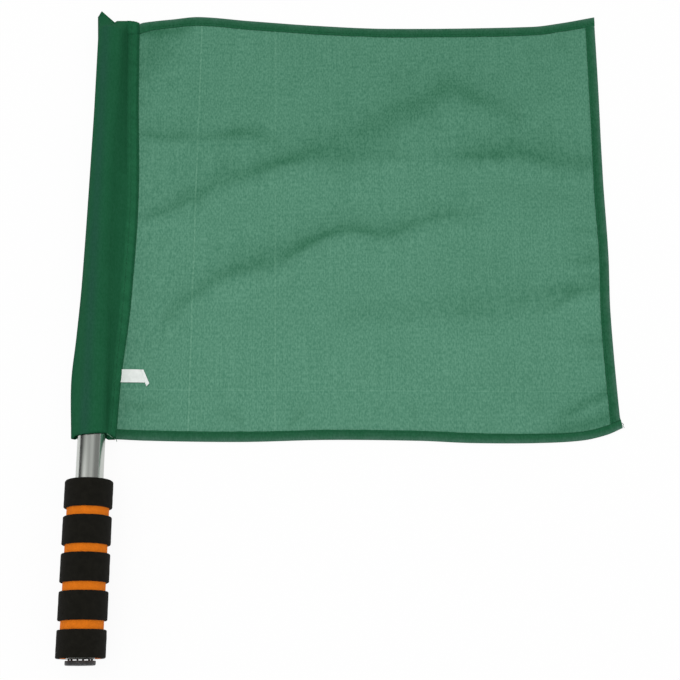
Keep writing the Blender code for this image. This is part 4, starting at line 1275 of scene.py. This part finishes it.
class FLAG_OT_label(bpy.types.Operator):
    """Make the small bare tape with its corner folded down"""

    bl_idname = "flag.label"
    bl_label = "Bare label"

    def tape(self, corners, lift, bow):
        """A closed piece of tape between four corners in millimetres, bowed off the panel."""
        top_left, top_right, low_right, low_left = (np.array(corner) / 1000 for corner in corners)
        across, down = np.meshgrid(np.linspace(0, 1, 16), np.linspace(1, 0, 10))
        share = across[..., None]
        plan = mix(mix(top_left, top_right, share), mix(low_left, low_right, share), down[..., None])
        share = (plan[..., 0] - strip_edge(plan[..., 1])[..., 0]) / PANEL_WIDTH
        up = (plan[..., 1] - SLEEVE_MOUTH - along_curve(BOTTOM_EDGE, share)) / PANEL_HEIGHT
        surface = cloth_point(STRIP_WIDTH + np.maximum(share, 0) * PANEL_WIDTH, up)[..., 2]
        rise = lift / 1000 + bow / 1000 * np.sin(across * math.pi) * (0.6 + 0.4 * np.cos(down * 3))
        rise = rise + 0.00025 * (2 * down - 1) ** 4 + CLOTH / 2
        return closed_sheet(*(np.concatenate([plan, (surface + rise + height)[..., None]], -1) + SHIFT
                              for height in (0, LABEL_THICKNESS)))

    def execute(self, context):
        points, faces = merged(self.tape(*part) for part in LABEL_PARTS)
        tape = label_finish(context.scene.flag_colours.label)
        label = piece_from("bare_label", points, faces, tape, "flag", "label_tape")
        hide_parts("label")
        return {"FINISHED"}


class FLAG_OT_declare(bpy.types.Operator):
    """A step that does nothing: no piece of cloth or size is declared here"""

    bl_idname = "flag.declare"
    bl_label = "Cloth sizes"

    def execute(self, context):
        return {"FINISHED"}


# The stage


class FLAG_OT_stage(bpy.types.Operator):
    """Lay the pale floor, hang the lamps and set the camera"""

    bl_idname = "flag.stage"
    bl_label = "Floor, light and camera"

    def execute(self, context):
        scene, look = context.scene, context.scene.flag_stage
        self.floor(look.floor_width)
        self.sky(look.sky)
        for name, place, share in LAMPS:
            lamp = bpy.data.lights.new(name, "AREA")
            lamp.shape, lamp.size, lamp.energy = "SQUARE", LAMP_SIZE, share * look.lamp
            holder = bpy.data.objects.new(name, lamp)
            holder.location = place
            holder.rotation_euler = (-Vector(place)).to_track_quat("-Z", "Y").to_euler()
            holder.visible_glossy = False
            scene.collection.objects.link(holder)
        lens = bpy.data.cameras.new("camera")
        lens.sensor_width, lens.lens = 36.0, CAMERA_LENS
        camera = bpy.data.objects.new("camera", lens)
        turn = Matrix.Identity(4)
        for degrees, axis in CAMERA_TURNS:
            turn = turn @ Matrix.Rotation(math.radians(degrees), 4, axis)
        camera.matrix_world = Matrix.Translation(CAMERA_PLACE) @ turn
        scene.collection.objects.link(camera)
        scene.camera = camera
        scene.view_settings.view_transform = "Standard"
        return {"FINISHED"}

    def floor(self, width):
        """A pale floor: nearly white to the camera, and a little darker in what polished parts mirror."""
        shape = bmesh.new()
        bmesh.ops.create_grid(shape, x_segments=4, y_segments=4, size=width / 2)
        mesh = bpy.data.meshes.new("floor")
        shape.to_mesh(mesh)
        shape.free()
        floor = bpy.data.objects.new("floor", mesh)
        floor.location.z = -0.00005
        bpy.context.scene.collection.objects.link(floor)
        finish = Finish("white_floor", 0.9, specular=0.0)
        finish.give("Base Color", (0.97, 0.97, 0.97, 1.0))
        rays = finish.add("LightPath", {}).outputs
        polished = finish.maths("MULTIPLY", rays["Is Glossy Ray"], 0.42)
        shown = finish.maths("MAXIMUM", finish.maths("MULTIPLY", finish.seen_straight(rays), 0.93), polished)
        glow = finish.add("Emission", {"Color": (1.0, 1.0, 1.0, 1.0), "Strength": 1.0}).outputs["Emission"]
        mixed = finish.add("MixShader", {0: shown, 1: finish.shader.outputs["BSDF"], 2: glow})
        finish.put(finish.tree.nodes["Material Output"].inputs["Surface"], mixed.outputs["Shader"])
        mesh.materials.append(finish.material)

    def sky(self, strength):
        """Even light for the object, white behind it, and a room with darker walls in its polished parts."""
        world = bpy.data.worlds.new("soft_room")
        world.use_nodes = True
        bpy.context.scene.world = world
        nodes = Nodes(world.node_tree)
        rays = nodes.add("LightPath", {}).outputs
        parts = nodes.add("SeparateXYZ", {0: nodes.add("TexCoord", {}).outputs["Generated"]}).outputs
        room = nodes.add("ValToRGB", {"Fac": nodes.range(parts["X"], -1.0, 1.0)})
        elements = room.color_ramp.elements
        for index, (place, tone) in enumerate(ROOM_TONES):
            element = elements[index] if index < 2 else elements.new(place)
            element.position, element.color = place, (tone, tone, 0.98 * tone, 1.0)
        shown = nodes.blend(rays["Is Glossy Ray"], (strength, strength, strength), room.outputs["Color"])
        shown = nodes.blend(nodes.seen_straight(rays), shown, (1.0, 1.0, 1.0))
        nodes.put(nodes.tree.nodes["Background"].inputs["Color"], shown)


class FLAG_PT_sidebar(bpy.types.Panel):
    """Sizes, colours and steps of the flag"""

    bl_idname = "FLAG_PT_sidebar"
    bl_label = "Linesman flag"
    bl_space_type = "VIEW_3D"
    bl_region_type = "UI"
    bl_category = "Flag"

    def draw(self, context):
        scene = context.scene
        for group in (scene.flag_sewing, scene.flag_colours, scene.flag_stage):
            box = self.layout.box()
            for name in group.bl_rna.properties.keys():
                if name not in ("rna_type", "name"):
                    box.prop(group, name)
        for step in STEPS:
            self.layout.operator(step.bl_idname)


STEPS = (FLAG_OT_tube, FLAG_OT_plugs, FLAG_OT_grip, FLAG_OT_panel, FLAG_OT_hems, FLAG_OT_sleeve,
         FLAG_OT_stitching, FLAG_OT_label, FLAG_OT_declare, FLAG_OT_stage)
GROUPS = (("flag_sewing", FlagSewing), ("flag_colours", FlagColours), ("flag_stage", FlagStage))


def register():
    for name, group in GROUPS:
        bpy.utils.register_class(group)
        setattr(bpy.types.Scene, name, PointerProperty(type=group))
    for step in (*STEPS, FLAG_PT_sidebar):
        bpy.utils.register_class(step)


def unregister():
    for step in reversed((*STEPS, FLAG_PT_sidebar)):
        bpy.utils.unregister_class(step)
    for name, group in reversed(GROUPS):
        delattr(bpy.types.Scene, name)
        bpy.utils.unregister_class(group)


def main():
    register()
    bpy.ops.flag.tube()
    bpy.ops.flag.plugs()
    bpy.ops.flag.grip()
    bpy.ops.flag.panel()
    bpy.ops.flag.hems()
    bpy.ops.flag.sleeve()
    bpy.ops.flag.stitching()
    bpy.ops.flag.label()
    bpy.ops.flag.declare()
    bpy.ops.flag.stage()


if __name__ == "__main__":
    main()
